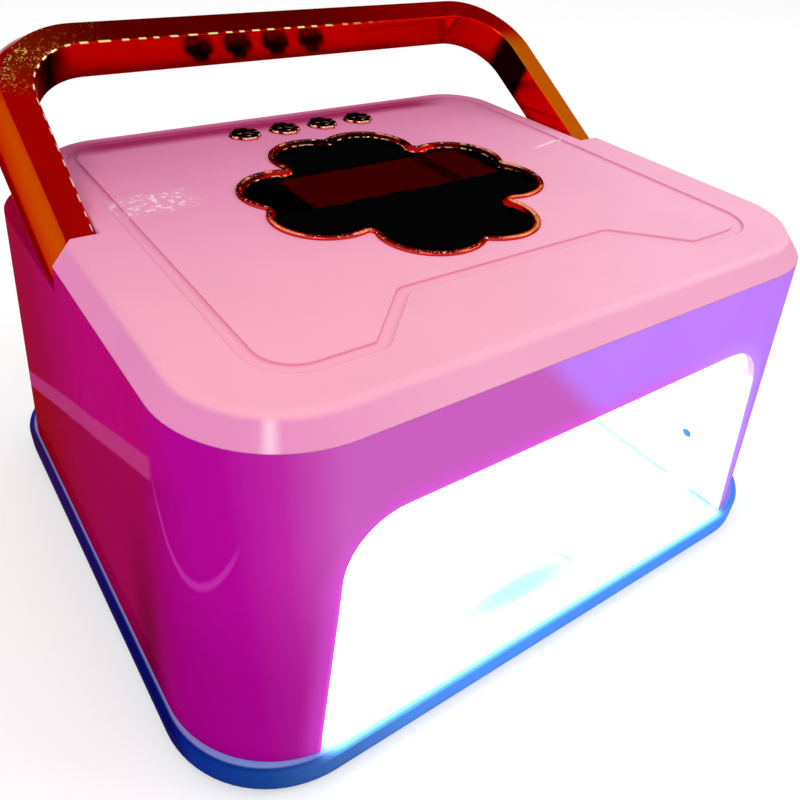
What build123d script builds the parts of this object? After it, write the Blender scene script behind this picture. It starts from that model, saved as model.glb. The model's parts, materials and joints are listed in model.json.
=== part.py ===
from build123d import *
import os
from math import atan, cos, degrees, radians, sin, sqrt

# A countertop UV LED nail lamp with a carrying bail. Millimetres, +Z up, the hand opening faces -Y.
# The origin is on the surface the lamp stands on, under the middle of its base.

# ---- base tray ----
base_width = 230.0
base_depth = 204.0
base_corner = 34.0
ring_height = 8.0
ring_width = 6.0
ring_wall = 3.0
ring_edge = 0.8
tray_floor = 2.4
tray_recess = 3.2
finger_width = 46.0
finger_depth = 20.0
finger_dip = 1.2
finger_setback = 18.0

# ---- feet and magnets ----
foot_radius = 7.0
foot_height = 2.3
foot_seat = 0.8
foot_edge = 0.5
foot_inset_x = 30.0
foot_inset_y = 26.0
magnet_radius = 5.0
magnet_height = 3.0
magnet_inset_x = 23.0
magnet_inset_y = 23.0

# ---- walls ----
ledge = 2.5
wall = 2.5
wall_corner = 34.0
crease_height = 106.8
crease_width = 207.6
crease_depth = 186.0
crease_corner = 32.0
tray_gap = 0.2

# ---- top cover ----
rim_run = 5.7
rim_rise = 6.5
rim_wall = 4.4
rim_edge = 1.0
top_thick = 2.4
lap_depth = 3.0
groove_width = 3.4
groove_deep = 0.7
groove_inset_side = 21.8
groove_inset_front = 18.4
groove_inset_rear = 6.9
groove_corner = 12.0
groove_notch_half = 54.5
groove_notch_deep = 18.0

# ---- handle and its notch ----
notch_front = 6.3
notch_wall = 2.4
notch_gap = 0.4
ledge_drop = 14.4
ledge_thick = 2.4
bail_room_front = 13.5
bail_room_rear = 14.9
bail_room_behind = 14.1
inset_corner = 18.5
handle_gap = 0.5
handle_rest_gap = 0.3
handle_edge = 0.8
handle_raise = 31.0
pin_radius = 2.5
pin_reach = 4.2
pin_head_radius = 4.2
pin_head = 1.8
bush_wall = 1.2
bush_flange = 1.2
bush_flange_radius = 4.6
washer_thick = 0.6
pivot_boss = 2.5
pin_fit = 0.04

# ---- hand opening and liner ----
opening_jamb_low = 30.5
opening_jamb_high = 29.3
opening_height = 84.0
opening_corner = 17.0
liner_lip = 0.8
liner_wall = 2.0
rear_room = 26.0
liner_flange = 2.0
fit_gap = 0.2

# ---- rosette window ----
petal_radius = 16.4
petal_centre = 33.6
petal_angle = 17.5
petal_blend = 1.2
bezel_rim = 0.6
bezel_proud = 0.9
bezel_round = 0.7
bezel_crest = 1.4
bezel_slope = 2.2
bezel_wall = 0.9
bezel_fit = 0.1
lens_drop = 1.0
lens_thick = 2.0

# ---- buttons ----
button_count = 4
button_pitch = 15.6
button_middle = 0.8
button_row_shift = 2.4
button_radius = 5.5
button_blend = 0.7
button_proud = 1.4
button_round = 1.0
button_gap = 0.3
button_flange = 1.0
button_flange_step = 1.4
button_travel = 0.6
stem_radius = 1.5
stem_length = 1.2
plunger_radius = 1.6
plunger_rise = 1.6
switch_side = 6.2
switch_height = 3.5

# ---- boards, lights and screws ----
board = 1.6
display_width = 46.0
display_depth = 30.0
digit_width = 30.0
digit_depth = 14.0
digit_height = 5.0
digit_count = 3
digit_margin = 3.15
segment_gap = 1.1
button_board_margin = 14.0
button_board_depth = 13.0
ceiling_board_side_room = 14.5
ceiling_board_front_room = 40.0
ceiling_board_rear_room = 10.0
side_board_front_room = 18.0
side_board_rear_room = 14.0
side_board_low = 24.0
side_board_high = 62.0
rear_board_side_room = 16.5
rear_board_low = 40.0
rear_board_high = 60.0
led_radius = 2.4
led_height = 2.2
led_round = 0.95
led_hole_gap = 0.4
ceiling_columns = 6
ceiling_rows = 4
ceiling_margin_x = 12.5
ceiling_margin_y = 19.0
side_columns = 4
side_margin_front = 45.0
side_margin_rear = 11.0
side_row_margin = 11.0
rear_columns = 5
rear_margin = 10.0
sensor_radius = 1.8
sensor_setback = 24.0
sensor_height = 33.0
screw_radius = 1.4
screw_head = 2.6
screw_head_height = 1.6
screw_slot = 0.6
boss_wall = 2.2
cover_screw_inset_x = 8.0
cover_screw_inset_y = 6.0
wall_boss_setback = 47.0
wall_boss_rise = 16.0
wall_boss_inset = 8.0
main_board_half = 46.0
main_board_low = 18.0
main_board_high = 74.0
main_board_gap = 4.0
choke_x = 28.0
choke_side = 10.0
choke_tall = 16.0
capacitor_x = 6.0
capacitor_side = 12.0
component_proud = 7.0
jack_x = -28.0
jack_height = 30.0
jack_radius = 4.6
jack_hole_radius = 2.8
jack_hole_depth = 9.0
jack_pin_radius = 1.0
jack_body = 10.0
jack_pin_inset = 1.0
vent_count = 9
vent_pitch = 9.0
vent_width = 3.0
vent_length = 16.0
vent_height = 82.0
ribbon_width = 9.0
ribbon_thick = 0.4
ribbon_overlap = 6.0
button_ribbon_x = 28.0

# ---- worked out from the sizes above ----
foot_proud = foot_height - foot_seat
ring_top = foot_proud + ring_height
shell_bottom = ring_top + tray_gap
top = crease_height + rim_rise
under_top = top - top_thick
ledge_top = top - ledge_drop
handle_band = ledge_drop - 2 * handle_rest_gap
pivot_z = ledge_top + ledge_drop / 2
pivot_y = notch_front + notch_gap + handle_band / 2
inset_front_half = crease_width / 2 - bail_room_front
inset_rear_half = crease_width / 2 - bail_room_rear
inset_rear = crease_depth / 2 - bail_room_behind
groove_side = crease_width / 2 - groove_inset_side
groove_front = crease_depth / 2 - groove_inset_front
groove_rear = inset_rear - groove_inset_rear
opening_half_low = base_width / 2 - opening_jamb_low
opening_half_high = crease_width / 2 - opening_jamb_high
liner_base = shell_bottom
liner_rear = base_depth / 2 - rear_room
wide = 2 * base_width
LOW = Align.MIN
MID = Align.CENTER


def block(x0, x1, y0, y1, z0, z1):
    """A box between two opposite corners."""
    return Pos(x0, y0, z0) * Box(x1 - x0, y1 - y0, z1 - z0, align=(LOW, LOW, LOW))


def post(x, y, z0, z1, radius):
    """An upright cylinder between two heights."""
    return Pos(x, y, z0) * Cylinder(radius, z1 - z0, align=(MID, MID, LOW))


def rod_x(x0, x1, y, z, radius):
    """A cylinder lying along X."""
    return Pos(x0, y, z) * Rot(0, 90, 0) * Cylinder(radius, x1 - x0, align=(MID, MID, LOW))


def rod_y(y0, y1, x, z, radius):
    """A cylinder lying along Y."""
    return Pos(x, y0, z) * Rot(-90, 0, 0) * Cylinder(radius, y1 - y0, align=(MID, MID, LOW))


def outline(width, depth, corner, z):
    return Pos(0, 0, z) * RectangleRounded(width, depth, corner)


def wall_size(z, inset):
    """Width, depth and corner radius of the tapering walls at one height."""
    share = (z - ring_top) / (crease_height - ring_top)
    width = (base_width - 2 * ledge) * (1 - share) + crease_width * share
    depth = (base_depth - 2 * ledge) * (1 - share) + crease_depth * share
    corner = wall_corner * (1 - share) + crease_corner * share
    return width - 2 * inset, depth - 2 * inset, corner - inset


def walls(inset, z0, z1):
    """The tapering wall envelope, inset by a thickness, between two heights."""
    return loft([outline(*wall_size(z0, inset), z0), outline(*wall_size(z1, inset), z1)], ruled=True)


def rim(inset, z1):
    """The chamfered rim above the crease, inset by a thickness."""
    run = rim_run * (z1 - crease_height) / rim_rise
    width, depth, corner = wall_size(crease_height, inset)
    low = outline(width, depth, corner, crease_height)
    high = outline(width - 2 * run, depth - 2 * run, corner - run, z1)
    return loft([low, high], ruled=True)


def inset_prism(grow, z0, z1, y0=notch_front):
    """The part of the cover that the folded bail wraps round, grown or shrunk in plan."""
    rear = inset_rear + grow
    slope = (inset_front_half - inset_rear_half) / (inset_rear - notch_front)
    front_half = inset_front_half + grow + slope * (notch_front - y0)
    rear_half = inset_rear_half + grow
    plan = Polygon((-front_half, y0), (front_half, y0), (rear_half, rear), (-rear_half, rear), align=None)
    corners = plan.vertices().sort_by(Axis.Y)[-2:]
    plan = fillet(corners, inset_corner + grow)
    return extrude(Pos(0, 0, z0) * plan, z1 - z0)


def rounded_top(shape, radius):
    """Rounds the edges of a piece's highest face."""
    return fillet(shape.edges().group_by(Axis.Z)[-1], radius)


def opening_profile(grow):
    """The arch of the hand opening, in the XZ plane."""
    slope = (opening_half_low - opening_half_high) / (opening_height - ring_top)
    high = opening_height + grow
    low = ring_top - base_depth / 8
    across = grow * sqrt(1 + slope * slope)
    low_half = opening_half_low + slope * (ring_top - low) + across
    high_half = opening_half_low - slope * (high - ring_top) + across
    arch = Polygon((-low_half, low), (low_half, low), (high_half, high), (-high_half, high), align=None)
    arch = fillet(arch.vertices().sort_by(Axis.Y)[-2:], opening_corner + grow)
    return Plane.XZ * arch


def tunnel(grow, y0, y1):
    """The arch run from front to rear."""
    return Pos(0, y1, 0) * extrude(opening_profile(grow), y1 - y0)


def rosette(lobe, centre, blend, grow=0.0):
    """Four double petals in a ring with blended cusps, as tangent arcs, grown or shrunk evenly."""
    turns = [90 * quarter + side * petal_angle for quarter in range(4) for side in (-1, 1)]
    petals = [Vector(centre, 0).rotate(Axis.Z, turn) for turn in turns]
    cusps = []
    for number, turn in enumerate(turns):
        half = ((turns[(number + 1) % 8] - turn) % 360) / 2
        reach = centre * cos(radians(half)) + sqrt((lobe + blend) ** 2 - (centre * sin(radians(half))) ** 2)
        cusps.append(Vector(reach, 0).rotate(Axis.Z, turn + half))
    edges = []
    for number, petal in enumerate(petals):
        before, after = cusps[number - 1], cusps[number]
        start = petal + (before - petal).normalized() * (lobe + grow)
        end = petal + (after - petal).normalized() * (lobe + grow)
        edges.append(ThreePointArc(start, petal + petal.normalized() * (lobe + grow), end))
        following = petals[(number + 1) % 8]
        next_start = following + (after - following).normalized() * (lobe + grow)
        edges.append(ThreePointArc(end, after - after.normalized() * (blend - grow), next_start))
    return make_face(Wire(edges))


def window_face(grow, z):
    """The window's outline, grown or shrunk, at one height."""
    return Pos(0, 0, z) * rosette(petal_radius, petal_centre, petal_blend, grow)


def window_prism(grow, z0, z1):
    return extrude(window_face(grow, z0), z1 - z0)


def row(count, pitch, middle=0.0):
    return [middle + pitch * (n - (count - 1) / 2) for n in range(count)]


def screw_up(x, y, z, length):
    """A pan-head screw whose shank rises from its head at a height."""
    head = post(x, y, z - screw_head_height, z, screw_head)
    half = screw_slot / 2
    low = z - screw_head_height
    slot = block(x - screw_head, x + screw_head, y - half, y + half, low, low + screw_head_height / 2)
    return head - slot + post(x, y, z, z + length, screw_radius)


def corners(x, y):
    return [(sx * x, sy * y) for sx in (-1, 1) for sy in (-1, 1)]


foot_places = corners(base_width / 2 - foot_inset_x, base_depth / 2 - foot_inset_y)
magnet_places = corners(base_width / 2 - magnet_inset_x, base_depth / 2 - magnet_inset_y)
ceiling_board_half = opening_half_high - ceiling_board_side_room
ceiling_board_front = base_depth / 2 - ceiling_board_front_room
ceiling_board_rear = liner_rear - ceiling_board_rear_room
side_board_front = base_depth / 2 - side_board_front_room
side_board_rear = liner_rear - side_board_rear_room
rear_board_half = opening_half_high - rear_board_side_room
sensor_y = base_depth / 2 - sensor_setback
cover_screw_x = ceiling_board_half - cover_screw_inset_x
cover_screw_y = ceiling_board_front - cover_screw_inset_y
cover_screw_places = corners(cover_screw_x, cover_screw_y)
wall_boss_x = base_width / 2 - ledge - wall_boss_inset
wall_boss_places = corners(wall_boss_x, base_depth / 2 - wall_boss_setback)
window_reach = petal_centre * cos(radians(petal_angle)) + petal_radius
button_row_y = (window_reach + inset_rear) / 2 - button_row_shift
button_places = row(button_count, button_pitch, button_middle)
bezel_inside = -bezel_rim - bezel_fit - bezel_wall
bezel_foot = -bezel_crest - bezel_slope
lens_top = top - lens_drop
lens_bottom = lens_top - lens_thick
flange_top = under_top - button_gap
flange_bottom = flange_top - button_flange
stem_bottom = flange_bottom - stem_length
switch_top = stem_bottom - plunger_rise
switch_bottom = switch_top - switch_height
button_board_bottom = switch_bottom - board
liner_grow = liner_lip + liner_wall
liner_top = opening_height + liner_grow
ceiling_board_top = liner_top + board
rear_face = liner_rear + liner_wall
main_board_front = rear_face + main_board_gap
main_board_rear = main_board_front + board
side_slope = (opening_half_low - opening_half_high) / (opening_height - ring_top)
side_lean = degrees(atan(side_slope))


def side_plane(side):
    """A plane on the liner's outer side face: local x runs along Y, local z points outwards."""
    half = opening_half_low + liner_grow * sqrt(1 + side_slope * side_slope)
    normal = Vector(side * cos(radians(side_lean)), 0, sin(radians(side_lean)))
    return Plane(origin=(side * half, 0, ring_top), x_dir=(0, side, 0), z_dir=normal)


def on_side(side, y, z, shape):
    """Places a shape on the liner's side face, at a Y and a height."""
    up = (z - ring_top) / cos(radians(side_lean))
    return side_plane(side) * Pos(side * y, up, 0) * shape


def led():
    """One light, its lens pointing along local -z from the board's face."""
    body = Pos(0, 0, -led_height) * Cylinder(led_radius, led_height, align=(MID, MID, LOW))
    return fillet(body.edges().sort_by(Axis.Z)[0], led_round)


def spread(count, low, high):
    """Evenly spaced places from the first to the last."""
    return [low + (high - low) * n / (count - 1) for n in range(count)]


ceiling_reach = ceiling_board_half - ceiling_margin_x
ceiling_xs = spread(ceiling_columns, -ceiling_reach, ceiling_reach)
ceiling_first = ceiling_margin_y - ceiling_board_front
ceiling_ys = spread(ceiling_rows, ceiling_first, ceiling_board_rear - ceiling_margin_y)
ceiling_places = [(x, y) for x in ceiling_xs for y in ceiling_ys]
side_ys = spread(side_columns, side_margin_front - side_board_front, side_board_rear - side_margin_rear)
side_zs = (side_board_low + side_row_margin, side_board_high - side_row_margin)
side_places = [(y, z) for y in side_ys for z in side_zs]
rear_middle = (rear_board_low + rear_board_high) / 2
rear_reach = rear_board_half - rear_margin
rear_places = [(x, rear_middle) for x in spread(rear_columns, -rear_reach, rear_reach)]


# ---- base tray, its feet and its magnets ----
def make_base_tray():
    body = extrude(outline(base_width, base_depth, base_corner, foot_proud), ring_height)
    outer_edges = body.edges().group_by(Axis.Z)[-1] + body.edges().group_by(Axis.Z)[0]
    body = chamfer(outer_edges, ring_edge)
    recess = ring_top - tray_recess
    inner = outline(base_width - 2 * ring_width, base_depth - 2 * ring_width, base_corner - ring_width, recess)
    body -= extrude(inner, tray_recess)
    floor_bottom = ring_top - tray_recess - tray_floor
    skirt = 2 * ring_wall
    under = outline(base_width - skirt, base_depth - skirt, base_corner - ring_wall, foot_proud)
    body -= extrude(under, floor_bottom - foot_proud)
    for x, y in foot_places:
        body += post(x, y, foot_proud, floor_bottom, foot_radius + boss_wall)
        body -= post(x, y, foot_proud, foot_proud + foot_seat, foot_radius + fit_gap)
    for x, y in magnet_places:
        body += post(x, y, floor_bottom, ring_top, magnet_radius + boss_wall)
        body -= post(x, y, ring_top - magnet_height, ring_top, magnet_radius + fit_gap)
    dip = Pos(0, -base_depth / 2 + finger_setback, ring_top - tray_recess - finger_dip)
    body -= dip * extrude(Ellipse(finger_width / 2, finger_depth / 2), finger_dip)
    return body


def make_foot(x, y):
    pad = post(x, y, 0, foot_height, foot_radius)
    return chamfer(pad.edges().sort_by(Axis.Z)[0], foot_edge)


def make_tray_magnets():
    low = ring_top - magnet_height
    return [post(x, y, low, low + magnet_height - fit_gap, magnet_radius) for x, y in magnet_places]


def make_housing_magnets():
    low = liner_base + liner_flange
    return [post(x, y, low, low + magnet_height, magnet_radius) for x, y in magnet_places]


# ---- outer shell ----
def make_outer_shell():
    body = walls(0, shell_bottom, crease_height) - walls(wall, shell_bottom, crease_height)
    body -= block(-wide, wide, notch_front, wide, ledge_top, top)
    shelf = walls(wall / 2, ledge_top - ledge_thick, ledge_top)
    shelf -= block(-wide, wide, -wide, notch_front - notch_wall, 0, top)
    shelf -= inset_prism(-notch_wall, 0, top, -base_depth)
    body += shelf
    end = walls(wall / 2, ledge_top - ledge_thick, crease_height)
    end &= block(-wide, wide, notch_front - notch_wall, notch_front, 0, top)
    end -= inset_prism(fit_gap, 0, top, -base_depth)
    body += end
    for x, y in wall_boss_places:
        low = liner_base + liner_flange
        boss = post(x, y, low, low + wall_boss_rise, screw_radius + boss_wall)
        wall_side = 1 if x > 0 else -1
        web_x = sorted((x, wall_side * (wall_size(low + wall_boss_rise, wall)[0] / 2 + wall / 2)))
        boss += block(*web_x, y - boss_wall / 2, y + boss_wall / 2, low, low + wall_boss_rise)
        body += boss - post(x, y, low, low + wall_boss_rise - boss_wall, screw_radius)
    body -= tunnel(0, -base_depth, -base_depth / 4)
    for x in row(vent_count, vent_pitch):
        slot = Plane.XZ * Pos(x, vent_height) * SlotOverall(vent_length, vent_width, rotation=90)
        body -= Pos(0, base_depth, 0) * extrude(slot, base_depth - main_board_rear)
    body -= rod_y(main_board_rear, base_depth, jack_x, jack_height, jack_radius + fit_gap)
    return body


# ---- top cover ----
def groove_path():
    """Centre line of the shallow decorative groove, with a stepped notch in front."""
    turn_in = groove_notch_half
    turn_out = groove_notch_half - groove_notch_deep
    back = -groove_front + groove_notch_deep
    points = [(-groove_side, groove_rear), (-groove_side, -groove_front), (-turn_in, -groove_front),
              (-turn_out, back), (turn_out, back), (turn_in, -groove_front), (groove_side, -groove_front),
              (groove_side, groove_rear)]
    plan = Polygon(*points, align=None)
    sharp = [v for v in plan.vertices() if abs(v.X) > groove_side - groove_width]
    plan = fillet(sharp, groove_corner)
    bends = [v for v in plan.vertices() if abs(v.X) < turn_in + groove_width and v.Y < back + groove_width]
    return fillet(bends, groove_corner / 4)


def make_top_cover():
    behind = block(-wide, wide, notch_front, wide, 0, 2 * top)
    front = rounded_top(rim(0, top), rim_edge) - behind
    rear = rounded_top(inset_prism(0, ledge_top, top, -inset_rear), rim_edge)
    rear -= block(-wide, wide, -wide, notch_front - notch_wall, 0, 2 * top)
    hollow = rim(rim_wall, under_top) - block(-wide, wide, notch_front - notch_wall, wide, 0, 2 * top)
    hollow += inset_prism(-notch_wall, ledge_top, under_top, notch_front - 2 * notch_wall)
    low = crease_height - lap_depth
    tongue = walls(wall + fit_gap, low, crease_height) - walls(rim_wall, low, crease_height)
    tongue -= block(-wide, wide, notch_front - 2 * notch_wall, wide, 0, 2 * top)
    body = front + rear - hollow + tongue
    path = groove_path()
    band = offset(path, amount=groove_width / 2) - offset(path, amount=-groove_width / 2)
    body -= extrude(Pos(0, 0, top - groove_deep) * band, 2 * groove_deep)
    body -= window_prism(-bezel_rim, under_top - top_thick, 2 * top)
    for x in button_places:
        body -= Pos(x, button_row_y, 0) * button_hole()
    for x, y in cover_screw_places:
        boss = post(x, y, ceiling_board_top, under_top, screw_radius + boss_wall)
        body += boss - post(x, y, ceiling_board_top, under_top - boss_wall, screw_radius)
    for side in (-1, 1):
        x = side * button_board_screw_x()
        boss = post(x, button_row_y, switch_bottom, under_top, screw_radius + boss_wall / 2)
        body += boss - post(x, button_row_y, switch_bottom, under_top - boss_wall, screw_radius)
        body += pivot_pad(side)
        body -= pivot_rod(side, -pivot_boss - notch_wall, handle_gap, pin_radius + bush_wall)
    return body


def inset_half(y):
    """Half width of the cover's inset side at one Y."""
    slope = (inset_front_half - inset_rear_half) / (inset_rear - notch_front)
    return inset_front_half - slope * (y - notch_front)


def pivot_rod(side, inner, outer, radius):
    """A cylinder on the bail's axis, measured outwards from the cover's inset side."""
    face = inset_half(pivot_y)
    x = sorted((side * (face + inner), side * (face + outer)))
    return rod_x(x[0], x[1], pivot_y, pivot_z, radius)


def pivot_pad(side):
    """Thickening inside the cover round the bail's bush."""
    pad_radius = pin_radius + bush_wall + boss_wall
    high = min(pivot_z + pad_radius, under_top + top_thick / 2)
    pad = pivot_rod(side, -pivot_boss - notch_wall, -notch_wall / 2, pad_radius)
    return pad & block(-wide, wide, -wide, wide, ledge_top, high)


def button_shape(grow):
    """The button's small eight-lobed outline, like the window's."""
    share = button_radius / (petal_centre + petal_radius)
    return rosette(petal_radius * share, petal_centre * share, button_blend, grow)


def button_hole():
    return extrude(Pos(0, 0, under_top - top_thick) * button_shape(button_gap), 3 * top_thick)


def button_board_screw_x():
    return button_pitch * (button_count - 1) / 2 + button_board_margin


# ---- window ----
def make_window_bezel():
    bead = rounded_top(window_prism(0, top, top + bezel_proud), bezel_round)
    body = bead + window_prism(-bezel_rim - bezel_fit, lens_bottom, top)
    body -= loft([window_face(-bezel_crest, top + bezel_proud), window_face(bezel_foot, lens_top)], ruled=True)
    return body - window_prism(bezel_inside, lens_bottom, lens_top)


def make_window_lens():
    return window_prism(bezel_inside - bezel_fit, lens_bottom, lens_top)


def make_display_board():
    high = lens_bottom - digit_height
    half, deep = display_width / 2, display_depth / 2
    plate = block(-half, half, -deep, deep, high - board, high)
    for side in (-1, 1):
        x = side * (display_width / 2 - boss_wall)
        plate += post(x, 0, ceiling_board_top, high - board, boss_wall)
    return plate


def make_display_digits():
    low = lens_bottom - digit_height
    half, deep = digit_width / 2, digit_depth / 2
    case = block(-half, half, -deep, deep, low, lens_bottom)
    digit = digit_depth - 2 * digit_margin
    for x in row(digit_count, digit_width / digit_count):
        case -= seven_segments(x, lens_bottom, digit)
    return case


def seven_segments(x, z, height):
    """Seven shallow bars laid out as one digit, as cutters."""
    half = height / 2
    thin = height / 10
    bars = block(x - half / 2, x + half / 2, -thin / 2, thin / 2, z - thin, z + thin)
    for y in (-half, half):
        bars += block(x - half / 2, x + half / 2, y - thin / 2, y + thin / 2, z - thin, z + thin)
    for side in (-1, 1):
        for y in (-half / 2, half / 2):
            edge = x + side * (half - segment_gap)
            reach = (half - segment_gap) / 2
            bars += block(edge - thin / 2, edge + thin / 2, y - reach, y + reach, z - thin, z + thin)
    return bars


# ---- buttons and their switches ----
def make_button_cap(x):
    cap = extrude(Pos(0, 0, flange_bottom) * button_shape(0), top + button_proud - flange_bottom)
    cap = rounded_top(cap, button_round)
    cap += post(0, 0, flange_bottom, flange_top, button_radius + button_flange_step)
    cap += post(0, 0, stem_bottom, flange_bottom, stem_radius)
    return Pos(x, button_row_y, 0) * cap


def make_plunger(x):
    return post(x, button_row_y, switch_top - button_travel - fit_gap, stem_bottom, plunger_radius)


def make_tact_switches():
    side = switch_side / 2
    y0, y1 = button_row_y - side, button_row_y + side
    cases = []
    for x in button_places:
        case = block(x - side, x + side, y0, y1, switch_bottom, switch_top)
        bore = switch_top - 2 * button_travel - 2 * fit_gap
        cases.append(case - post(x, button_row_y, bore, switch_top, plunger_radius + fit_gap))
    return cases


def make_button_board():
    half = button_board_screw_x() + screw_radius + boss_wall
    deep = button_board_depth / 2
    plate = block(-half, half, button_row_y - deep, button_row_y + deep, button_board_bottom, switch_bottom)
    for side in (-1, 1):
        x = side * button_board_screw_x()
        plate -= post(x, button_row_y, button_board_bottom, switch_bottom, screw_radius)
    return plate


def make_button_board_screws():
    x = button_board_screw_x()
    length = under_top - boss_wall - button_board_bottom - fit_gap
    return [screw_up(side * x, button_row_y, button_board_bottom, length) for side in (-1, 1)]


# ---- liner ----
def make_reflector_liner():
    clear = wall + fit_gap
    front_clear = walls(clear, liner_base, crease_height)
    body = tunnel(liner_grow, -base_depth, rear_face) - tunnel(liner_lip, -2 * base_depth, liner_rear)
    body &= front_clear
    body &= block(-wide, wide, -wide, wide, liner_base, top)
    flange = walls(clear, liner_base, liner_base + liner_flange)
    flange -= tunnel(liner_lip, -2 * base_depth, liner_rear)
    for x, y in wall_boss_places:
        flange -= post(x, y, liner_base, liner_base + liner_flange, screw_radius + fit_gap)
        flange -= post(x, y, liner_base, liner_base + screw_head_height / 2, screw_head + fit_gap)
    for x, y in magnet_places:
        cup_top = liner_base + liner_flange + magnet_height / 2
        cup = post(x, y, liner_base, cup_top, magnet_radius + boss_wall / 2)
        cup -= post(x, y, liner_base + liner_flange, 2 * top, magnet_radius + fit_gap)
        flange += cup & walls(clear, liner_base, crease_height)
    body += flange
    hole = led_radius + led_hole_gap
    for x, y in ceiling_places:
        body -= post(x, y, opening_height, liner_top, hole)
    for x, y in cover_screw_places:
        body -= post(x, y, opening_height, liner_top, screw_radius + fit_gap)
    for x, z in rear_places:
        body -= rod_y(liner_rear - liner_wall, rear_face, x, z, hole)
    deep = 2 * liner_grow
    drill = Pos(0, 0, -deep) * Cylinder(hole, deep, align=(MID, MID, LOW))
    eye = Pos(0, 0, -deep) * Cylinder(sensor_radius + fit_gap, deep, align=(MID, MID, LOW))
    for side in (-1, 1):
        for y, z in side_places:
            body -= on_side(side, y, z, drill)
        body -= on_side(side, -sensor_y, sensor_height, eye)
    for x, z in main_screw_places():
        body += rod_y(rear_face, main_board_front, x, z, screw_radius + boss_wall / 2)
        body -= rod_y(rear_face, main_board_front, x, z, screw_radius)
    return body


def main_screw_places():
    inset = screw_radius + boss_wall
    return [(side * (main_board_half - inset), z)
            for side in (-1, 1) for z in (main_board_low + inset, main_board_high - inset)]


def make_liner_screws():
    length = liner_flange + wall_boss_rise - boss_wall - screw_head_height / 2 - fit_gap
    return [screw_up(x, y, liner_base + screw_head_height / 2, length)
            & block(-wide, wide, -wide, wide, liner_base, top) for x, y in wall_boss_places]


def make_cover_screws():
    low = opening_height + liner_lip
    return [screw_up(x, y, low, under_top - boss_wall - low - fit_gap) for x, y in cover_screw_places]


# ---- light boards ----
def make_ceiling_board():
    plate = block(-ceiling_board_half, ceiling_board_half, -ceiling_board_front, ceiling_board_rear,
                  liner_top, ceiling_board_top)
    for x, y in cover_screw_places:
        plate -= post(x, y, liner_top, ceiling_board_top, screw_radius)
    return plate


def make_ceiling_leds():
    return [Pos(x, y, liner_top) * led() for x, y in ceiling_places]


def make_side_board(side):
    middle_y = (side_board_rear - side_board_front) / 2
    tall = (side_board_high - side_board_low) / cos(radians(side_lean))
    plate = Box(side_board_front + side_board_rear, tall, board, align=(MID, MID, LOW))
    return on_side(side, middle_y, (side_board_low + side_board_high) / 2, plate)


def make_side_leds(side):
    return [on_side(side, y, z, led()) for y, z in side_places]


def make_sensor(side):
    eye = Pos(0, 0, -liner_wall) * Cylinder(sensor_radius, liner_wall, align=(MID, MID, LOW))
    return on_side(side, -sensor_y, sensor_height, fillet(eye.edges().sort_by(Axis.Z)[0], sensor_radius / 2))


def make_rear_board():
    half = rear_board_half
    return block(-half, half, rear_face, rear_face + board, rear_board_low, rear_board_high)


def make_rear_leds():
    return [Pos(x, rear_face, z) * Rot(-90, 0, 0) * led() for x, z in rear_places]


# ---- power ----
def make_main_board():
    half = main_board_half
    plate = block(-half, half, main_board_front, main_board_rear, main_board_low, main_board_high)
    for x, z in main_screw_places():
        plate -= rod_y(main_board_front, main_board_rear, x, z, screw_radius)
    parts = ((capacitor_x, capacitor_side, capacitor_side), (choke_x, choke_side, choke_tall))
    for x, side, tall in parts:
        low, high = jack_height - tall / 2, jack_height + tall / 2
        plate += block(x - side / 2, x + side / 2, main_board_rear, main_board_rear + component_proud, low, high)
    return plate


def make_main_board_screws():
    length = main_board_gap - fit_gap + board
    head = rod_y(0, screw_head_height, 0, 0, screw_head)
    screw = head + rod_y(-length, 0, 0, 0, screw_radius)
    return [Pos(x, main_board_rear, z) * screw for x, z in main_screw_places()]


def make_dc_jack():
    half = jack_body / 2
    outer_y = wall_size(jack_height, 0)[1] / 2
    hole_end = outer_y - jack_hole_depth
    low, high = jack_height - half, jack_height + half
    body = block(jack_x - half, jack_x + half, main_board_rear, main_board_rear + half, low, high)
    body += rod_y(main_board_rear, outer_y, jack_x, jack_height, jack_radius)
    body -= rod_y(hole_end, outer_y, jack_x, jack_height, jack_hole_radius)
    return body + rod_y(hole_end, outer_y - jack_pin_inset, jack_x, jack_height, jack_pin_radius)


# ---- ribbons between the boards ----
def make_side_ribbon(side):
    """A flat cable from the ceiling board round the liner's shoulder to a side board."""
    half = ribbon_width / 2
    outer = tunnel(liner_grow + board + ribbon_thick, -half, half)
    strip = outer - tunnel(liner_grow + board, -base_depth, base_depth)
    low = side_board_high - ribbon_overlap
    start = side * (ceiling_board_half - ribbon_overlap)
    x = sorted((start, side * wide))
    return strip & block(x[0], x[1], -wide, wide, low, 2 * top)


def make_rear_ribbon():
    """A flat cable from the ceiling board down to the main board."""
    half = ribbon_width / 2
    flat = block(-half, half, ceiling_board_rear - ribbon_overlap, main_board_front, ceiling_board_top,
                 ceiling_board_top + ribbon_thick)
    return flat + block(-half, half, main_board_front - ribbon_thick, main_board_front,
                        main_board_high - ribbon_overlap, ceiling_board_top + ribbon_thick)


def make_button_ribbon():
    """A flat cable from the ceiling board up to the button board."""
    x0, x1 = button_ribbon_x - ribbon_width / 2, button_ribbon_x + ribbon_width / 2
    y0, y1 = button_row_y - ribbon_overlap, button_row_y
    z0, z1 = ceiling_board_top, button_board_bottom
    low = block(x0, x1, y0, y1, z0, z0 + ribbon_thick)
    rise = block(x0, x1, y1 - ribbon_thick, y1, z0, z1)
    high = block(x0, x1, y0, y1, z1 - ribbon_thick, z1)
    return low + rise + high


# ---- carrying bail and its pivots ----
def raised(shape):
    """Turns a piece from the folded pose to the pose at rest, about the pivot axis."""
    return Pos(0, pivot_y, pivot_z) * Rot(handle_raise, 0, 0) * Pos(0, -pivot_y, -pivot_z) * shape


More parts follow.
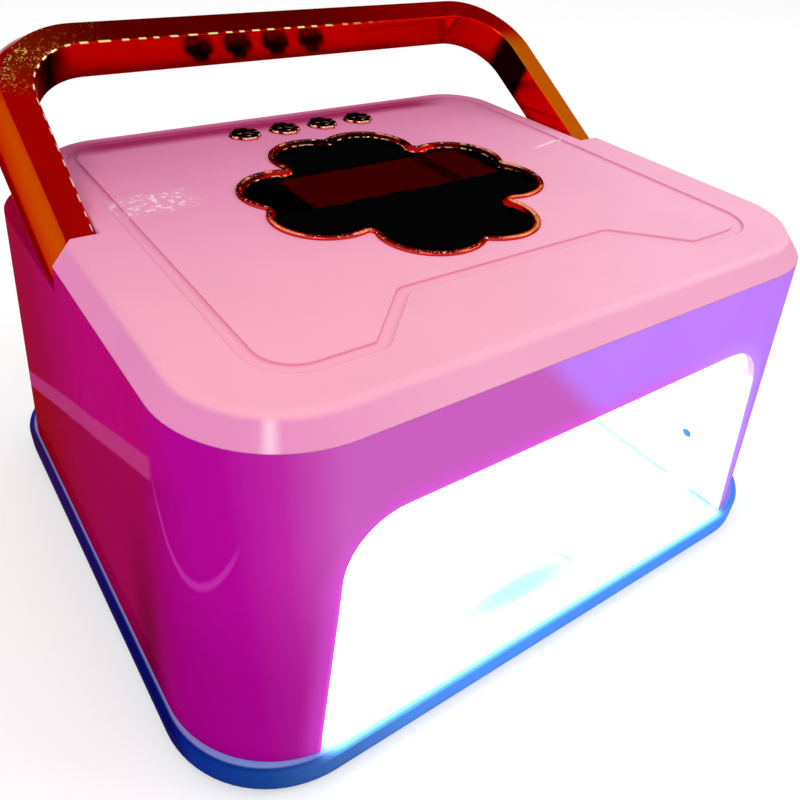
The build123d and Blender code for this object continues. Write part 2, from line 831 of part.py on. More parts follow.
def make_handle():
    low = pivot_z - handle_band / 2
    high = pivot_z + handle_band / 2
    envelope = walls(0, ledge_top, crease_height) + rim(0, top)
    start = pivot_y
    arms = envelope & block(-wide, wide, start, wide, low, high)
    ends = envelope & rod_x(-wide, wide, pivot_y, pivot_z, handle_band / 2)
    body = arms + ends - inset_prism(handle_gap, 0, 2 * top, -base_depth)
    flats = body.faces().sort_by(Axis.Z)
    body = fillet(flats[0].edges() + flats[-1].edges(), handle_edge)
    for side in (-1, 1):
        body -= pivot_rod(side, 0, handle_gap + pin_reach, pin_radius)
    return raised(body)


def make_pivot_pin(side):
    inner = -pivot_boss - notch_wall - bush_flange - washer_thick
    pin = pivot_rod(side, inner, handle_gap + pin_reach, pin_radius)
    pin += pivot_rod(side, inner - pin_head, inner, pin_head_radius)
    return raised(pin)


def make_friction_washer(side):
    inner = -pivot_boss - notch_wall - bush_flange - washer_thick
    disc = pivot_rod(side, inner, inner + washer_thick - pin_fit, pin_head_radius)
    return disc - pivot_rod(side, inner, inner + washer_thick, pin_radius)


def make_pivot_bush(side):
    outer = pivot_rod(side, -pivot_boss - notch_wall, 0, pin_radius + bush_wall)
    flange_inner = -pivot_boss - notch_wall - bush_flange
    outer += pivot_rod(side, flange_inner, -pivot_boss - notch_wall, bush_flange_radius)
    return outer - pivot_rod(side, flange_inner, 0, pin_radius + pin_fit)


nodes = {
    "base_tray": make_base_tray(),
    "tray_magnets": make_tray_magnets(),
    "housing_magnets": make_housing_magnets(),
    "outer_shell": make_outer_shell(),
    "top_cover": make_top_cover(),
    "window_bezel": make_window_bezel(),
    "window_lens": make_window_lens(),
    "display_board": make_display_board(),
    "display_digits": make_display_digits(),
    "tact_switches": make_tact_switches(),
    "button_board": make_button_board(),
    "button_board_screws": make_button_board_screws(),
    "reflector_liner": make_reflector_liner(),
    "liner_screws": make_liner_screws(),
    "cover_screws": make_cover_screws(),
    "ceiling_led_board": make_ceiling_board(),
    "ceiling_leds": make_ceiling_leds(),
    "rear_led_board": make_rear_board(),
    "rear_leds": make_rear_leds(),
    "main_board": make_main_board(),
    "main_board_screws": make_main_board_screws(),
    "dc_jack": make_dc_jack(),
    "rear_ribbon": make_rear_ribbon(),
    "button_ribbon": make_button_ribbon(),
    "handle": make_handle(),
}
for number, x in enumerate(button_places, 1):
    nodes[f"button_cap_{number}"] = make_button_cap(x)
    nodes[f"switch_plunger_{number}"] = make_plunger(x)
for name, (x, y) in zip(("front_left", "rear_left", "front_right", "rear_right"), foot_places):
    nodes[f"foot_{name}"] = make_foot(x, y)
for name, side in (("left", -1), ("right", 1)):
    nodes[f"{name}_led_board"] = make_side_board(side)
    nodes[f"{name}_leds"] = make_side_leds(side)
    nodes[f"{name}_hand_sensor"] = make_sensor(side)
    nodes[f"{name}_ribbon"] = make_side_ribbon(side)
    nodes[f"{name}_pivot_pin"] = make_pivot_pin(side)
    nodes[f"{name}_pivot_bush"] = make_pivot_bush(side)
    nodes[f"{name}_friction_washer"] = make_friction_washer(side)

os.makedirs("parts", exist_ok=True)
for name, shape in nodes.items():
    solids = shape if isinstance(shape, list) else [shape]
    made = [solid for piece in solids for solid in piece.solids()]
    export_step(Compound(children=made) if len(made) > 1 else made[0], f"parts/{name}.step")
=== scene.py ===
import json
import math

import bmesh
import bpy
import numpy as np
from mathutils import Matrix, Vector


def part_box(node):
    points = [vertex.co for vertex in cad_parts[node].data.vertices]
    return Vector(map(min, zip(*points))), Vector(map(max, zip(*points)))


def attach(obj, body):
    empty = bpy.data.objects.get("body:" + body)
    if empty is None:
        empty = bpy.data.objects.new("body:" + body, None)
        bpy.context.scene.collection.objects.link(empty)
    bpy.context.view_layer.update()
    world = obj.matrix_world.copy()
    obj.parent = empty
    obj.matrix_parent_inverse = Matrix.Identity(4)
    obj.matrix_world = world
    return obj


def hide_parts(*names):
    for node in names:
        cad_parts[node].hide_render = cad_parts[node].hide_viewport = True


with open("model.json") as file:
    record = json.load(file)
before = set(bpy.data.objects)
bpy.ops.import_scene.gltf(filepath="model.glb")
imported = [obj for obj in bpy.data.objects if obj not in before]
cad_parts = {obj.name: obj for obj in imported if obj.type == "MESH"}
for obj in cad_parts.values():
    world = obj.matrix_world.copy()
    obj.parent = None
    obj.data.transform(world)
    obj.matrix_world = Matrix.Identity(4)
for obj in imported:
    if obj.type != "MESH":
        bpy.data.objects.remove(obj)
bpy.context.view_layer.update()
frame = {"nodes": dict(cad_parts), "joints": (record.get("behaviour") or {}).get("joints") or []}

bl_info = {
    "name": "Nail Lamp Finishes",
    "version": (1, 0, 0),
    "blender": (4, 5, 0),
    "location": "View3D > Sidebar > Nail Lamp",
    "description": "Finishes a countertop UV LED nail lamp on its frame",
    "category": "Add Mesh",
}

HINGE = next(joint for joint in frame["joints"] if joint["name"] == "bail_hinge")
MM = 0.001
BLACK = (0.0, 0.0, 0.0)
WHITE = (1.0, 1.0, 1.0)
WELD = 0.001 * MM  # points nearer than this are one point
SKIN = 0.01 * MM  # depth of the moulded plastic's fine relief

# The hand opening
ARCH_CROWN = 84.0 * MM
ARCH_CORNER = 17.0 * MM
ARCH_FOOT = 9.5 * MM
ARCH_HALF = 84.5 * MM
ARCH_LEAN = 10.0 / 74.5  # how fast the jambs lean inward with height

# Middle of the housing's front left corner
CORNER_X = -75.0 * MM
CORNER_Y = -63.5 * MM

# The left wall's pale stripe, a painted reflection: its height at one depth, and its slope
STRIPE_Z = 56.5 * MM
STRIPE_Y = 20.0 * MM
STRIPE_SLOPE = 0.417

# The thin paler line painted round the front left corner: its low point and its climb
FOLD_Z = 67.0 * MM
FOLD_TURN = 0.44
FOLD_RISE = 21.0 * MM

# The area that holds the cover's groove
GROOVE_SIDE = 86.5 * MM
GROOVE_FRONT = -77.0 * MM
GROOVE_REAR = 74.5 * MM

# The base: its corner and the width of the ring round the tray's floor
BASE_CORNER = 34.0 * MM
BASE_RING = 6.0 * MM

# The painted shade in the finger dip of the tray
DIP_Y = -84.0 * MM
DIP_HALF_WIDTH = 32.0 * MM
DIP_HALF_DEPTH = 6.2 * MM

FOOT_RISE = 2.3 * MM
FLOOR_REACH = 6.0
CAMERA_RIGHT = Vector((0.82021, -0.56861, 0.06281))
CAMERA_UP = Vector((0.30329, 0.52532, 0.79502))


def tone(red, green, blue):
    """A colour given as screen values from 0 to 255, as linear light."""
    shares = (red / 255, green / 255, blue / 255)
    return tuple(s / 12.92 if s <= 0.04045 else ((s + 0.055) / 1.055) ** 2.4 for s in shares)


def tint(label, note, *screen):
    return bpy.props.FloatVectorProperty(
        name=label, description=note, subtype="COLOR", size=3, min=0.0, max=1.0, default=tone(*screen))


def length(label, note, value):
    return bpy.props.FloatProperty(
        name=label, description=note, unit="LENGTH", subtype="DISTANCE", default=value, min=0.0, precision=5)


def level(label, note, value, high=10.0):
    return bpy.props.FloatProperty(name=label, description=note, default=value, min=0.0, max=high)


# ---- settings
class ShellColours(bpy.types.PropertyGroup):
    """Colours of the housing walls and the top cover"""
    # Painted shade: the left wall darker towards the rear and low down; the front corner dark at the side and
    # pale at the front
    wall_rear: tint("Wall, rear", "Upper left wall towards the rear", 162, 0, 56)
    wall_front: tint("Wall, front", "Upper left wall towards the front", 186, 0, 116)
    low_rear: tint("Low wall, rear", "Lower left wall towards the rear", 156, 0, 18)
    low_front: tint("Low wall, front", "Lower left wall towards the front", 162, 0, 80)
    # Painted reflection: the soft paler band across the left wall
    sheen: tint("Wall sheen", "Soft paler band across the left wall", 188, 54, 124)
    corner_dark: tint("Corner, side", "Front corner next to the left wall", 168, 0, 134)
    corner_pale: tint("Corner, front", "Front corner next to the front wall", 188, 38, 162)
    # Painted light: the front wall orchid at the left and violet at the right
    orchid: tint("Front, left", "Front wall left of the arch", 199, 93, 186)
    violet: tint("Front, right", "Front wall right of the arch", 190, 125, 249)
    # Painted glow: the housing is no lamp; this bright edge stands in for light from inside the hand opening
    lip: tint("Arch edge", "Bright edge round the hand opening", 238, 84, 238)
    lip_right: tint("Arch edge, right", "Bright edge at the right of the hand opening", 208, 172, 252)
    # Painted shade and light: the cover darker towards the rear and paler towards the right
    cover_front: tint("Cover, front", "Top cover near the front edge", 246, 169, 192)
    cover_rear: tint("Cover, rear", "Top cover near the rear edge", 216, 128, 172)
    cover_right: tint("Cover, right", "Top cover towards the right", 248, 186, 210)
    # Painted reflection: the bail's bar seen in the cover as a dark soft band before the rear edge
    bail_reflection_band: tint("Cover, rear band", "Dark soft band before the rear lip", 160, 4, 84)
    # Painted shade: the sloping rim darker on the left than along the front
    rim: tint("Rim, left", "Sloping rim on the left of the cover", 226, 138, 186)
    rim_front: tint("Rim, front", "Sloping rim along the front of the cover", 234, 162, 192)
    # Painted shade in the shallow groove
    groove: tint("Groove", "Sides of the shallow groove", 214, 112, 160)


class MetalColours(bpy.types.PropertyGroup):
    """Colours of the mirror plating and the window"""
    # Painted reflections: one rose gold plating, coloured by which way each face looks, with painted glints
    # and dark reflected streaks
    red: tint("Plating, inner", "Inner faces of the bail", 222, 6, 2)
    dark_red: tint("Plating, front", "Front faces of the bail's arms", 156, 4, 2)
    orange: tint("Plating, outer", "Sloping outer faces of the bail", 200, 80, 4)
    gold: tint("Plating, glints", "Bright glints on the plating", 255, 208, 120)
    deep: tint("Plating, shade", "Darkest streaks in the plating", 20, 2, 2)
    # Painted reflections on the window's bead: a gold crest and a red outer flank
    bead: tint("Window bead", "Crest of the window's bead", 236, 150, 106)
    bead_side: tint("Window bead, outside", "Outer flank of the window's bead", 214, 44, 40)
    # Painted highlight on the front lobes of the buttons
    peach: tint("Button skirt", "Lobes of the plated buttons", 255, 190, 150)
    pane: tint("Window pane", "Smoked window pane", 2, 1, 1)
    # A dark red patch painted on the pane
    dark_red_patch: tint("Display tint", "Dark red display area in the pane", 56, 1, 2)


class BaseColours(bpy.types.PropertyGroup):
    """Colours of the base, the lining and the small parts"""
    # Painted light and shade: the ring's navy to pale blue stands in for blue light falling on it, darker at
    # the left and rear
    ring_left: tint("Base ring, left", "Base ring on the left side", 8, 0, 94)
    ring_rear: tint("Base ring, rear left", "Base ring towards the rear of the left side", 54, 6, 80)
    ring_front: tint("Base ring, front", "Base ring at the front left", 22, 68, 144)
    ring_right: tint("Base ring, right", "Base ring at the front right", 80, 142, 244)
    # Painted highlight: a lavender line along the ledge
    ledge: tint("Ledge", "Narrow ledge round the base", 152, 136, 208)
    tray: tint("Tray", "Floor of the tray", 232, 250, 252)
    # Painted shade in the finger dip
    dip: tint("Finger dip", "Shallow oval for the fingers", 148, 224, 224)
    lining: tint("Lining", "Reflector lining", 246, 250, 252)
    light: tint("Light", "Colour of the lit lining", 226, 248, 255)
    board: tint("Circuit board", "Solder mask of the boards", 16, 74, 44)
    copper: tint("Traces", "Pale traces on the boards", 62, 132, 84)
    rubber: tint("Rubber", "Foot pads", 36, 36, 40)
    steel: tint("Steel", "Screws and pins", 178, 180, 184)
    black: tint("Black plastic", "Sockets, switches and sensors", 16, 16, 18)


class PieceSizes(bpy.types.PropertyGroup):
    """Sizes of the repeated pieces and of the looks"""
    lamp_radius: length("Light radius", "Radius of one light's lens", 2.4 * MM)
    lamp_height: length("Light height", "Height of one light's lens", 2.2 * MM)
    screw_head: length("Screw head radius", "Radius of a pan head", 2.6 * MM)
    screw_rise: length("Screw head height", "Height of a pan head", 1.6 * MM)
    screw_shank: length("Screw shank radius", "Radius of a screw's shank", 1.4 * MM)
    foot_radius: length("Foot radius", "Radius of a foot pad", 7.0 * MM)
    micro_round: length("Edge softness", "Softening of the moulded edges", 0.35 * MM)
    lining_glow: level("Lining glow", "Strength of the lit lining", 1.7)
    lamp_glow: level("Light glow", "Strength of the lights", 4.0)


class StageSettings(bpy.types.PropertyGroup):
    """The floor, the lights and the camera"""
    floor: tint("Floor", "Plain floor", 240, 240, 240)
    floor_lift: level("Floor lift", "Paleness that the camera sees added to the floor", 0.22)
    world: level("Room light", "Strength of the even light all round", 0.78)
    key: level("Key light", "Power of the large soft light", 6.0, 1000.0)
    fill: level("Fill light", "Power of the second soft light", 3.0, 1000.0)
    camera_lens: bpy.props.FloatProperty(
        name="Lens", description="Focal length of the camera", unit="CAMERA", default=33.84, min=1.0)
    camera_place: bpy.props.FloatVectorProperty(
        name="Camera", description="Place of the camera", subtype="TRANSLATION", unit="LENGTH", size=3,
        default=(-0.13487, -0.18695, 0.2028))


# ---- node writing
class Level:
    """A number inside a node tree, so that plain arithmetic adds its Math nodes."""

    def __init__(self, tree, socket):
        self.tree = tree
        self.socket = socket

    def math(self, operation, *others):
        return self.tree.calculate(operation, self, *others)

    def __add__(self, other):
        return self.math("ADD", other)

    def __sub__(self, other):
        return self.math("SUBTRACT", other)

    def __rsub__(self, other):
        return self.tree.calculate("SUBTRACT", other, self)

    def __mul__(self, other):
        return self.math("MULTIPLY", other)

    def __truediv__(self, other):
        return self.math("DIVIDE", other)

    def __pow__(self, other):
        return self.math("POWER", other)

    def __abs__(self):
        return self.math("ABSOLUTE")

    def least(self, other):
        return self.math("MINIMUM", other)

    def most(self, other):
        return self.math("MAXIMUM", other)

    def sine(self):
        return self.math("SINE")

    __radd__ = __add__
    __rmul__ = __mul__


class Nodes:
    """Writes nodes into one tree."""

    def __init__(self, tree):
        self.tree = tree
        self.tree.nodes.clear()

    def node(self, kind, settings=None, feeds=None):
        made = self.tree.nodes.new(kind)
        for key, value in (settings or {}).items():
            if key == "stops":
                self.set_stops(made.color_ramp, value)
            else:
                setattr(made, key, value)
        for key, value in (feeds or {}).items():
            self.feed(made.inputs[key], value)
        return made

    def set_stops(self, ramp, stops):
        while len(ramp.elements) < len(stops):
            ramp.elements.new(1.0)
        for element, (place, colour) in zip(ramp.elements, stops):
            element.position = place
            element.color = (*colour, 1.0)

    def feed(self, socket, value):
        if isinstance(value, Level):
            value = value.socket
        if isinstance(value, bpy.types.NodeSocket):
            self.tree.links.new(value, socket)
        elif socket.type == "RGBA":
            socket.default_value = (*tuple(value)[:3], 1.0)
        else:
            socket.default_value = value

    def level(self, node, output=0):
        return Level(self, node.outputs[output])

    def calculate(self, operation, *values):
        return self.level(self.node("ShaderNodeMath", {"operation": operation}, dict(enumerate(values))))

    def vector(self, **parts):
        """A vector from its x, y and z; a part left out is 0."""
        feeds = {part.upper(): value for part, value in parts.items()}
        return self.node("ShaderNodeCombineXYZ", None, feeds).outputs[0]


class Finish(Nodes):
    """One material, with its place on the piece read in metres."""

    def __init__(self, name, attribute=None, **constants):
        self.material = bpy.data.materials.new(name)
        self.material.use_nodes = True
        super().__init__(self.material.node_tree)
        self.constants = {key.replace("_", " "): value for key, value in constants.items()}
        self.shader = self.node("ShaderNodeBsdfPrincipled", None, self.constants)
        self.node("ShaderNodeOutputMaterial", None, {0: self.shader.outputs[0]})
        self.place = self.node("ShaderNodeTexCoord").outputs["Object"]
        if attribute:
            self.place = self.node("ShaderNodeAttribute", {"attribute_name": attribute}).outputs["Vector"]
        self.x, self.y, self.z = self.split(self.place)

    def split(self, vector):
        parts = self.node("ShaderNodeSeparateXYZ", None, {0: vector})
        return [self.level(parts, n) for n in range(3)]

    def attribute(self, name):
        return self.node("ShaderNodeAttribute", {"attribute_name": name}).outputs["Vector"]

    def blend(self, mask, under, over):
        """Lays one colour over another where the mask is 1."""
        return self.node("ShaderNodeMix", {"data_type": "RGBA"}, {0: mask, 6: under, 7: over}).outputs[2]

    def rise(self, value, low, high):
        """A soft step from 0 at low to 1 at high."""
        feeds = {"Value": value, "From Min": low, "From Max": high}
        return self.level(self.node("ShaderNodeMapRange", {"interpolation_type": "SMOOTHSTEP"}, feeds))

    def fall(self, value, low, high):
        """A soft step from 1 at low to 0 at high."""
        return 1 - self.rise(value, low, high)

    def window(self, value, low, high, soft):
        """1 between two values, with soft ends."""
        return self.rise(value, low - soft, low + soft) * self.fall(value, high - soft, high + soft)

    def grain(self, scale, detail=2.0, stretch=None):
        """Noise from about 0 to 1, so many waves to the metre."""
        place = self.place
        if stretch:
            feeds = {0: place, 1: stretch}
            place = self.node("ShaderNodeVectorMath", {"operation": "MULTIPLY"}, feeds).outputs[0]
        feeds = {"Vector": place, "Scale": scale, "Detail": detail}
        return self.level(self.node("ShaderNodeTexNoise", None, feeds))

    def cells(self, scale):
        feeds = {"Vector": self.place, "Scale": scale}
        return self.level(self.node("ShaderNodeTexVoronoi", None, feeds))

    def ramp(self, value, *stops):
        return self.node("ShaderNodeValToRGB", {"stops": stops}, {0: value}).outputs[0]

    def wear(self, colour, amount):
        """Slight unevenness of a moulded or plated colour."""
        patch = self.rise(self.grain(38.0, 3.0), 0.3, 0.7) * amount
        return self.blend(patch, colour, BLACK)

    def surface(self, colour, roughness=None, height=None, depth=SKIN, soften=None, **more):
        """Connects what varies over the surface."""
        self.feed(self.shader.inputs["Base Color"], colour)
        if roughness is not None:
            self.feed(self.shader.inputs["Roughness"], roughness)
        for key, value in more.items():
            self.feed(self.shader.inputs[key.replace("_", " ")], value)
        normal = None
        if soften:
            normal = self.node("ShaderNodeBevel", {"samples": 4}, {"Radius": soften}).outputs[0]
        if height is not None:
            feeds = {"Height": height, "Distance": depth, "Strength": 1.0}
            if normal:
                feeds["Normal"] = normal
            normal = self.node("ShaderNodeBump", None, feeds).outputs[0]
        if normal:
            self.feed(self.shader.inputs["Normal"], normal)
        return self.material


# ---- meshes
def settings(group):
    return getattr(bpy.context.scene, "nail_lamp_" + group)


def dress(material, *nodes):
    """Gives CAD nodes their finish."""
    for node in nodes:
        slots = frame["nodes"][node].data.materials
        slots.clear()
        slots.append(material)


def centre(node):
    low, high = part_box(node)
    return (low + high) / 2


def add(name, data):
    """A new object in the scene."""
    made = bpy.data.objects.new(name, data)
    bpy.context.scene.collection.objects.link(made)
    return made


def welded(node):
    """A CAD node's mesh with its doubled points merged, open for work."""
    shape = bmesh.new()
    shape.from_mesh(frame["nodes"][node].data)
    bmesh.ops.remove_doubles(shape, verts=shape.verts, dist=WELD)
    return shape


def copy_of(node, name):
    """A merged copy of a CAD node's mesh, as a new piece."""
    shape = welded(node)
    mesh = bpy.data.meshes.new(name)
    shape.to_mesh(mesh)
    shape.free()
    return add(name, mesh)


def smooth(piece, angle):
    """Smooth shading, with crisp edges kept and flat faces kept flat."""
    piece.data.shade_smooth()
    piece.data.set_sharp_from_angle(angle=math.radians(angle))
    weighted = piece.modifiers.new("weighted", "WEIGHTED_NORMAL")
    weighted.keep_sharp = True
    settle(piece)


def settle(piece):
    """Turns a piece's modifiers into plain mesh."""
    bpy.context.view_layer.update()
    graph = bpy.context.evaluated_depsgraph_get()
    mesh = bpy.data.meshes.new_from_object(piece.evaluated_get(graph), depsgraph=graph)
    piece.modifiers.clear()
    piece.data = mesh
    mesh.name = piece.name


def islands(node):
    """The separate solids of a CAD node: low corner, high corner and the way its largest flat faces."""
    shape = welded(node)
    found, seen = [], set()
    for start in shape.verts:
        if start in seen:
            continue
        group, queue = set(), [start]
        seen.add(start)
        while queue:
            vert = queue.pop()
            group.add(vert)
            for edge in vert.link_edges:
                other = edge.other_vert(vert)
                if other not in seen:
                    seen.add(other)
                    queue.append(other)
        spots = np.array([vert.co for vert in group])
        areas = {}
        for face in {face for vert in group for face in vert.link_faces}:
            way = tuple(round(part, 2) for part in face.normal)
            areas[way] = areas.get(way, 0.0) + face.calc_area()
        flat = Vector(max(areas, key=areas.get)).normalized()
        found.append((Vector(spots.min(0)), Vector(spots.max(0)), flat))
    shape.free()
    return found


def keep_places(piece, name, turn):
    """Stores where each point lies after a turn, so that a finish can follow it."""
    kept = piece.data.attributes.new(name, "FLOAT_VECTOR", "POINT")
    places = [turn @ vertex.co for vertex in piece.data.vertices]
    kept.data.foreach_set("vector", [part for place in places for part in place])


def keep_faces(piece, name, turn):
    """Stores which way each corner faces after a turn."""
    spin = turn.to_3x3()
    kept = piece.data.attributes.new(name, "FLOAT_VECTOR", "CORNER")
    ways = [spin @ normal.vector for normal in piece.data.corner_normals]
    kept.data.foreach_set("vector", [part for way in ways for part in way])


def wear_on(piece, material, body, slot, *nodes):
    """Gives a new piece its finish, its body and the CAD nodes that it stands for."""
    piece.data.materials.clear()
    piece.data.materials.append(material)
    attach(piece, body)
    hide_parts(*nodes)


# ---- repeated turned pieces
def turned_stud(nodes, given, steps):
    """A closed stud, pushed up from a round floor in steps of (share of the height, spread)."""
    height = nodes.level(given, "Height")
    ring = nodes.node("GeometryNodeMeshCircle", {"fill_type": "NGON"},
                      {"Radius": given.outputs["Radius"], "Vertices": given.outputs["Sides"]})
    floor = nodes.node("GeometryNodeFlipFaces", None, {0: ring.outputs[0]})
    top, chosen = ring.outputs[0], None
    for rise, spread in steps:
        feeds = {"Mesh": top, "Offset Scale": height * rise, "Individual": False}
        if chosen:
            feeds["Selection"] = chosen
        grown = nodes.node("GeometryNodeExtrudeMesh", {"mode": "FACES"}, feeds)
        chosen = grown.outputs["Top"]
        feeds = {"Geometry": grown.outputs["Mesh"], "Selection": chosen, "Scale": spread}
        top = nodes.node("GeometryNodeScaleElements", {"domain": "FACE"}, feeds).outputs[0]
    joined = nodes.node("GeometryNodeJoinGeometry", None, {0: floor.outputs[0]})
    nodes.feed(joined.inputs[0], top)
    feeds = {0: joined.outputs[0], "Distance": WELD}
    return nodes.node("GeometryNodeMergeByDistance", None, feeds).outputs[0]


def lifted(nodes, shape, rise):
    """Moves a shape along its own axis."""
    feeds = {0: shape.outputs[0], "Translation": nodes.vector(z=rise)}
    return nodes.node("GeometryNodeTransform", None, feeds).outputs[0]


def screw(nodes, given, head):
    """Adds a shank below a head and sinks a cross into its top."""
    radius, height = nodes.level(given, "Radius"), nodes.level(given, "Height")
    shank_length = nodes.level(given, "Shank Length")
    feeds = {"Radius": given.outputs["Shank Radius"], "Depth": shank_length, "Vertices": 24}
    shank = nodes.node("GeometryNodeMeshCylinder", None, feeds)
    shank = lifted(nodes, shank, shank_length * -0.5 + height * 0.05)
    union = nodes.node("GeometryNodeMeshBoolean", {"operation": "UNION"}, {1: head})
    nodes.feed(union.inputs[1], shank)
    whole = union.outputs[0]
    for wide, deep in ((1.1, 0.3), (0.3, 1.1)):
        size = nodes.vector(x=radius * wide, y=radius * deep, z=height)
        slot = lifted(nodes, nodes.node("GeometryNodeMeshCube", None, {"Size": size}), height * 0.95)
        cutter = {"operation": "DIFFERENCE"}
        whole = nodes.node("GeometryNodeMeshBoolean", cutter, {0: whole, 1: slot}).outputs[0]
    return whole


def stud_tree(name, steps, crossed=False):
    """A node tree that turns one stud and sets it on each point, facing that point's aim."""
    tree = bpy.data.node_groups.new(name, "GeometryNodeTree")
    nodes = Nodes(tree)
    declare = tree.interface.new_socket
    inputs = {"Geometry": "Geometry", "Radius": "Float", "Height": "Float", "Shank Radius": "Float",
              "Shank Length": "Float", "Sides": "Int", "Finish": "Material"}
    for label, kind in inputs.items():
        declare(label, in_out="INPUT", socket_type="NodeSocket" + kind)
    declare("Geometry", in_out="OUTPUT", socket_type="NodeSocketGeometry")
    given = nodes.node("NodeGroupInput")
    stud = turned_stud(nodes, given, steps)
    if crossed:
        stud = screw(nodes, given, stud)
    aim = nodes.node("GeometryNodeInputNamedAttribute", {"data_type": "FLOAT_VECTOR"}, {"Name": "aim"})
    turn = nodes.node("FunctionNodeAlignRotationToVector", {"axis": "Z"}, {"Vector": aim.outputs[0]})
    set_out = nodes.node("GeometryNodeInstanceOnPoints", None,
                         {"Points": given.outputs["Geometry"], "Instance": stud, "Rotation": turn.outputs[0]})
    real = nodes.node("GeometryNodeRealizeInstances", None, {0: set_out.outputs[0]})
    done = nodes.node("GeometryNodeSetMaterial", None,
                      {"Geometry": real.outputs[0], "Material": given.outputs["Finish"]})
    nodes.node("NodeGroupOutput", None, {0: done.outputs[0]})
    return tree


def set_studs(name, tree, places, body, slot, replaced, finish, **sizes):
    """Sets one stud at each place (spot, aim) and keeps them as one piece."""
    mesh = bpy.data.meshes.new(name)
    mesh.from_pydata([spot for spot, aim in places], [], [])
    aims = mesh.attributes.new("aim", "FLOAT_VECTOR", "POINT")
    aims.data.foreach_set("vector", [part for spot, aim in places for part in aim])
    piece = add(name, mesh)
    modifier = piece.modifiers.new("studs", "NODES")
    modifier.node_group = tree
    values = {"Finish": finish}
    values.update({key.replace("_", " ").title(): value for key, value in sizes.items()})
    for item in tree.interface.items_tree:
        if item.item_type == "SOCKET" and item.in_out == "INPUT" and item.name in values:
            modifier[item.identifier] = values[item.name]
    settle(piece)
    smooth(piece, 40)
    wear_on(piece, finish, body, slot, *replaced)


# ---- finishes
def reach(across, along):
    """Distance from an axis."""
    return (across ** 2.0 + along ** 2.0) ** 0.5


def outside(across, along, corner):
    """Distance outside a shape with rounded corners, from the distances past its corners' middles."""
    return reach(across.most(0.0), along.most(0.0)) + across.most(along).least(0.0) - corner


def arch_distance(f):
    """Distance outside the arch of the hand opening, seen from the front."""
    half = ARCH_HALF - (f.z - ARCH_FOOT) * ARCH_LEAN
    return outside(abs(f.x) - (half - ARCH_CORNER), f.z - (ARCH_CROWN - ARCH_CORNER), ARCH_CORNER)


def rounded_distance(f, half_x, half_y, corner):
    """Distance outside a rounded rectangle, seen from above."""
    return outside(abs(f.x) - (half_x - corner), abs(f.y) - (half_y - corner), corner)


def corner_turn(f):
    """Angle round the front left corner, in radians: 0 on the left wall, a quarter turn on the front."""
    return (CORNER_Y - f.y).math("ARCTAN2", CORNER_X - f.x)


def moulded(f):
    """Fine orange peel and faint handling marks of glossy moulded plastic."""
    return f.grain(900.0, 2.0) * 0.7 + f.grain(162.0, 3.0) * 0.3


def left_wall(f, c):
    """Reds of the left wall in painted shade, its pale stripe as a painted reflection, and the front corner's
    painted shading with its thin paler line.
    """
    line = f.z - (STRIPE_Z + (STRIPE_Y - f.y) * STRIPE_SLOPE) + f.grain(26.0, 2.0) * 0.002
    # painted shade: darker towards the rear, and below the stripe
    ahead = f.rise(0 - f.y, -0.060, 0.030)
    upper = f.blend(ahead, c.wall_rear, c.wall_front)
    lower = f.blend(ahead, c.low_rear, c.low_front)
    wall = f.blend(f.rise(line, -0.004, 0.002), lower, upper)
    # painted shade low down before the corner
    shade = f.window(0 - f.y, 0.044, 0.064, 0.012) * f.fall(f.z, 0.025, 0.080)
    wall = f.blend(shade * 0.42, wall, BLACK)
    # painted shade: darker at the foot
    wall = f.blend(f.rise(0 - f.z, -0.030, -0.010) * 0.18, wall, BLACK)
    # painted shading round the front corner: dark at the side, pale at the front, darker low down
    corner = f.ramp((f.x + 0.110) / 0.036, (0.0, c.corner_dark), (0.18, tone(174, 4, 144)),
                    (0.36, tone(178, 6, 150)), (0.62, c.corner_pale), (1.0, c.orchid))
    corner = f.blend(f.rise(0 - f.z, -0.085, -0.030) * 0.45, corner, tone(148, 0, 118))
    wall = f.blend(f.rise(0 - f.y, 0.052, 0.078), wall, corner)
    # painted reflection: the pale stripe
    stripe = f.window(line, -0.0030, 0.0034, 0.0006) * f.fall(0 - f.y, 0.0605, 0.0635)
    wall = f.blend(stripe * 0.92, wall, c.sheen)
    # the thin paler line round the corner, painted
    turn = corner_turn(f)
    fold = f.z - FOLD_Z - ((turn - FOLD_TURN) / FOLD_TURN) ** 2.0 * FOLD_RISE
    fold = f.window(fold, -0.0012, 0.0012, 0.0008) * f.window(turn, 0.0, 0.78, 0.06)
    return f.blend(fold * 0.6, wall, tone(200, 56, 174))


def front_wall(f, c, left):
    """Painted light on the front wall: orchid left of a slanting line above the arch and violet right of it.
    """
    slant = f.x + 0.018 - (0.106 - f.z) * 1.1 + f.grain(20.0, 1.0) * 0.008
    front = f.blend(f.rise(slant, -0.004, 0.008), c.orchid, c.violet)
    return f.blend(f.rise(f.x, -0.080, -0.070), left, front)


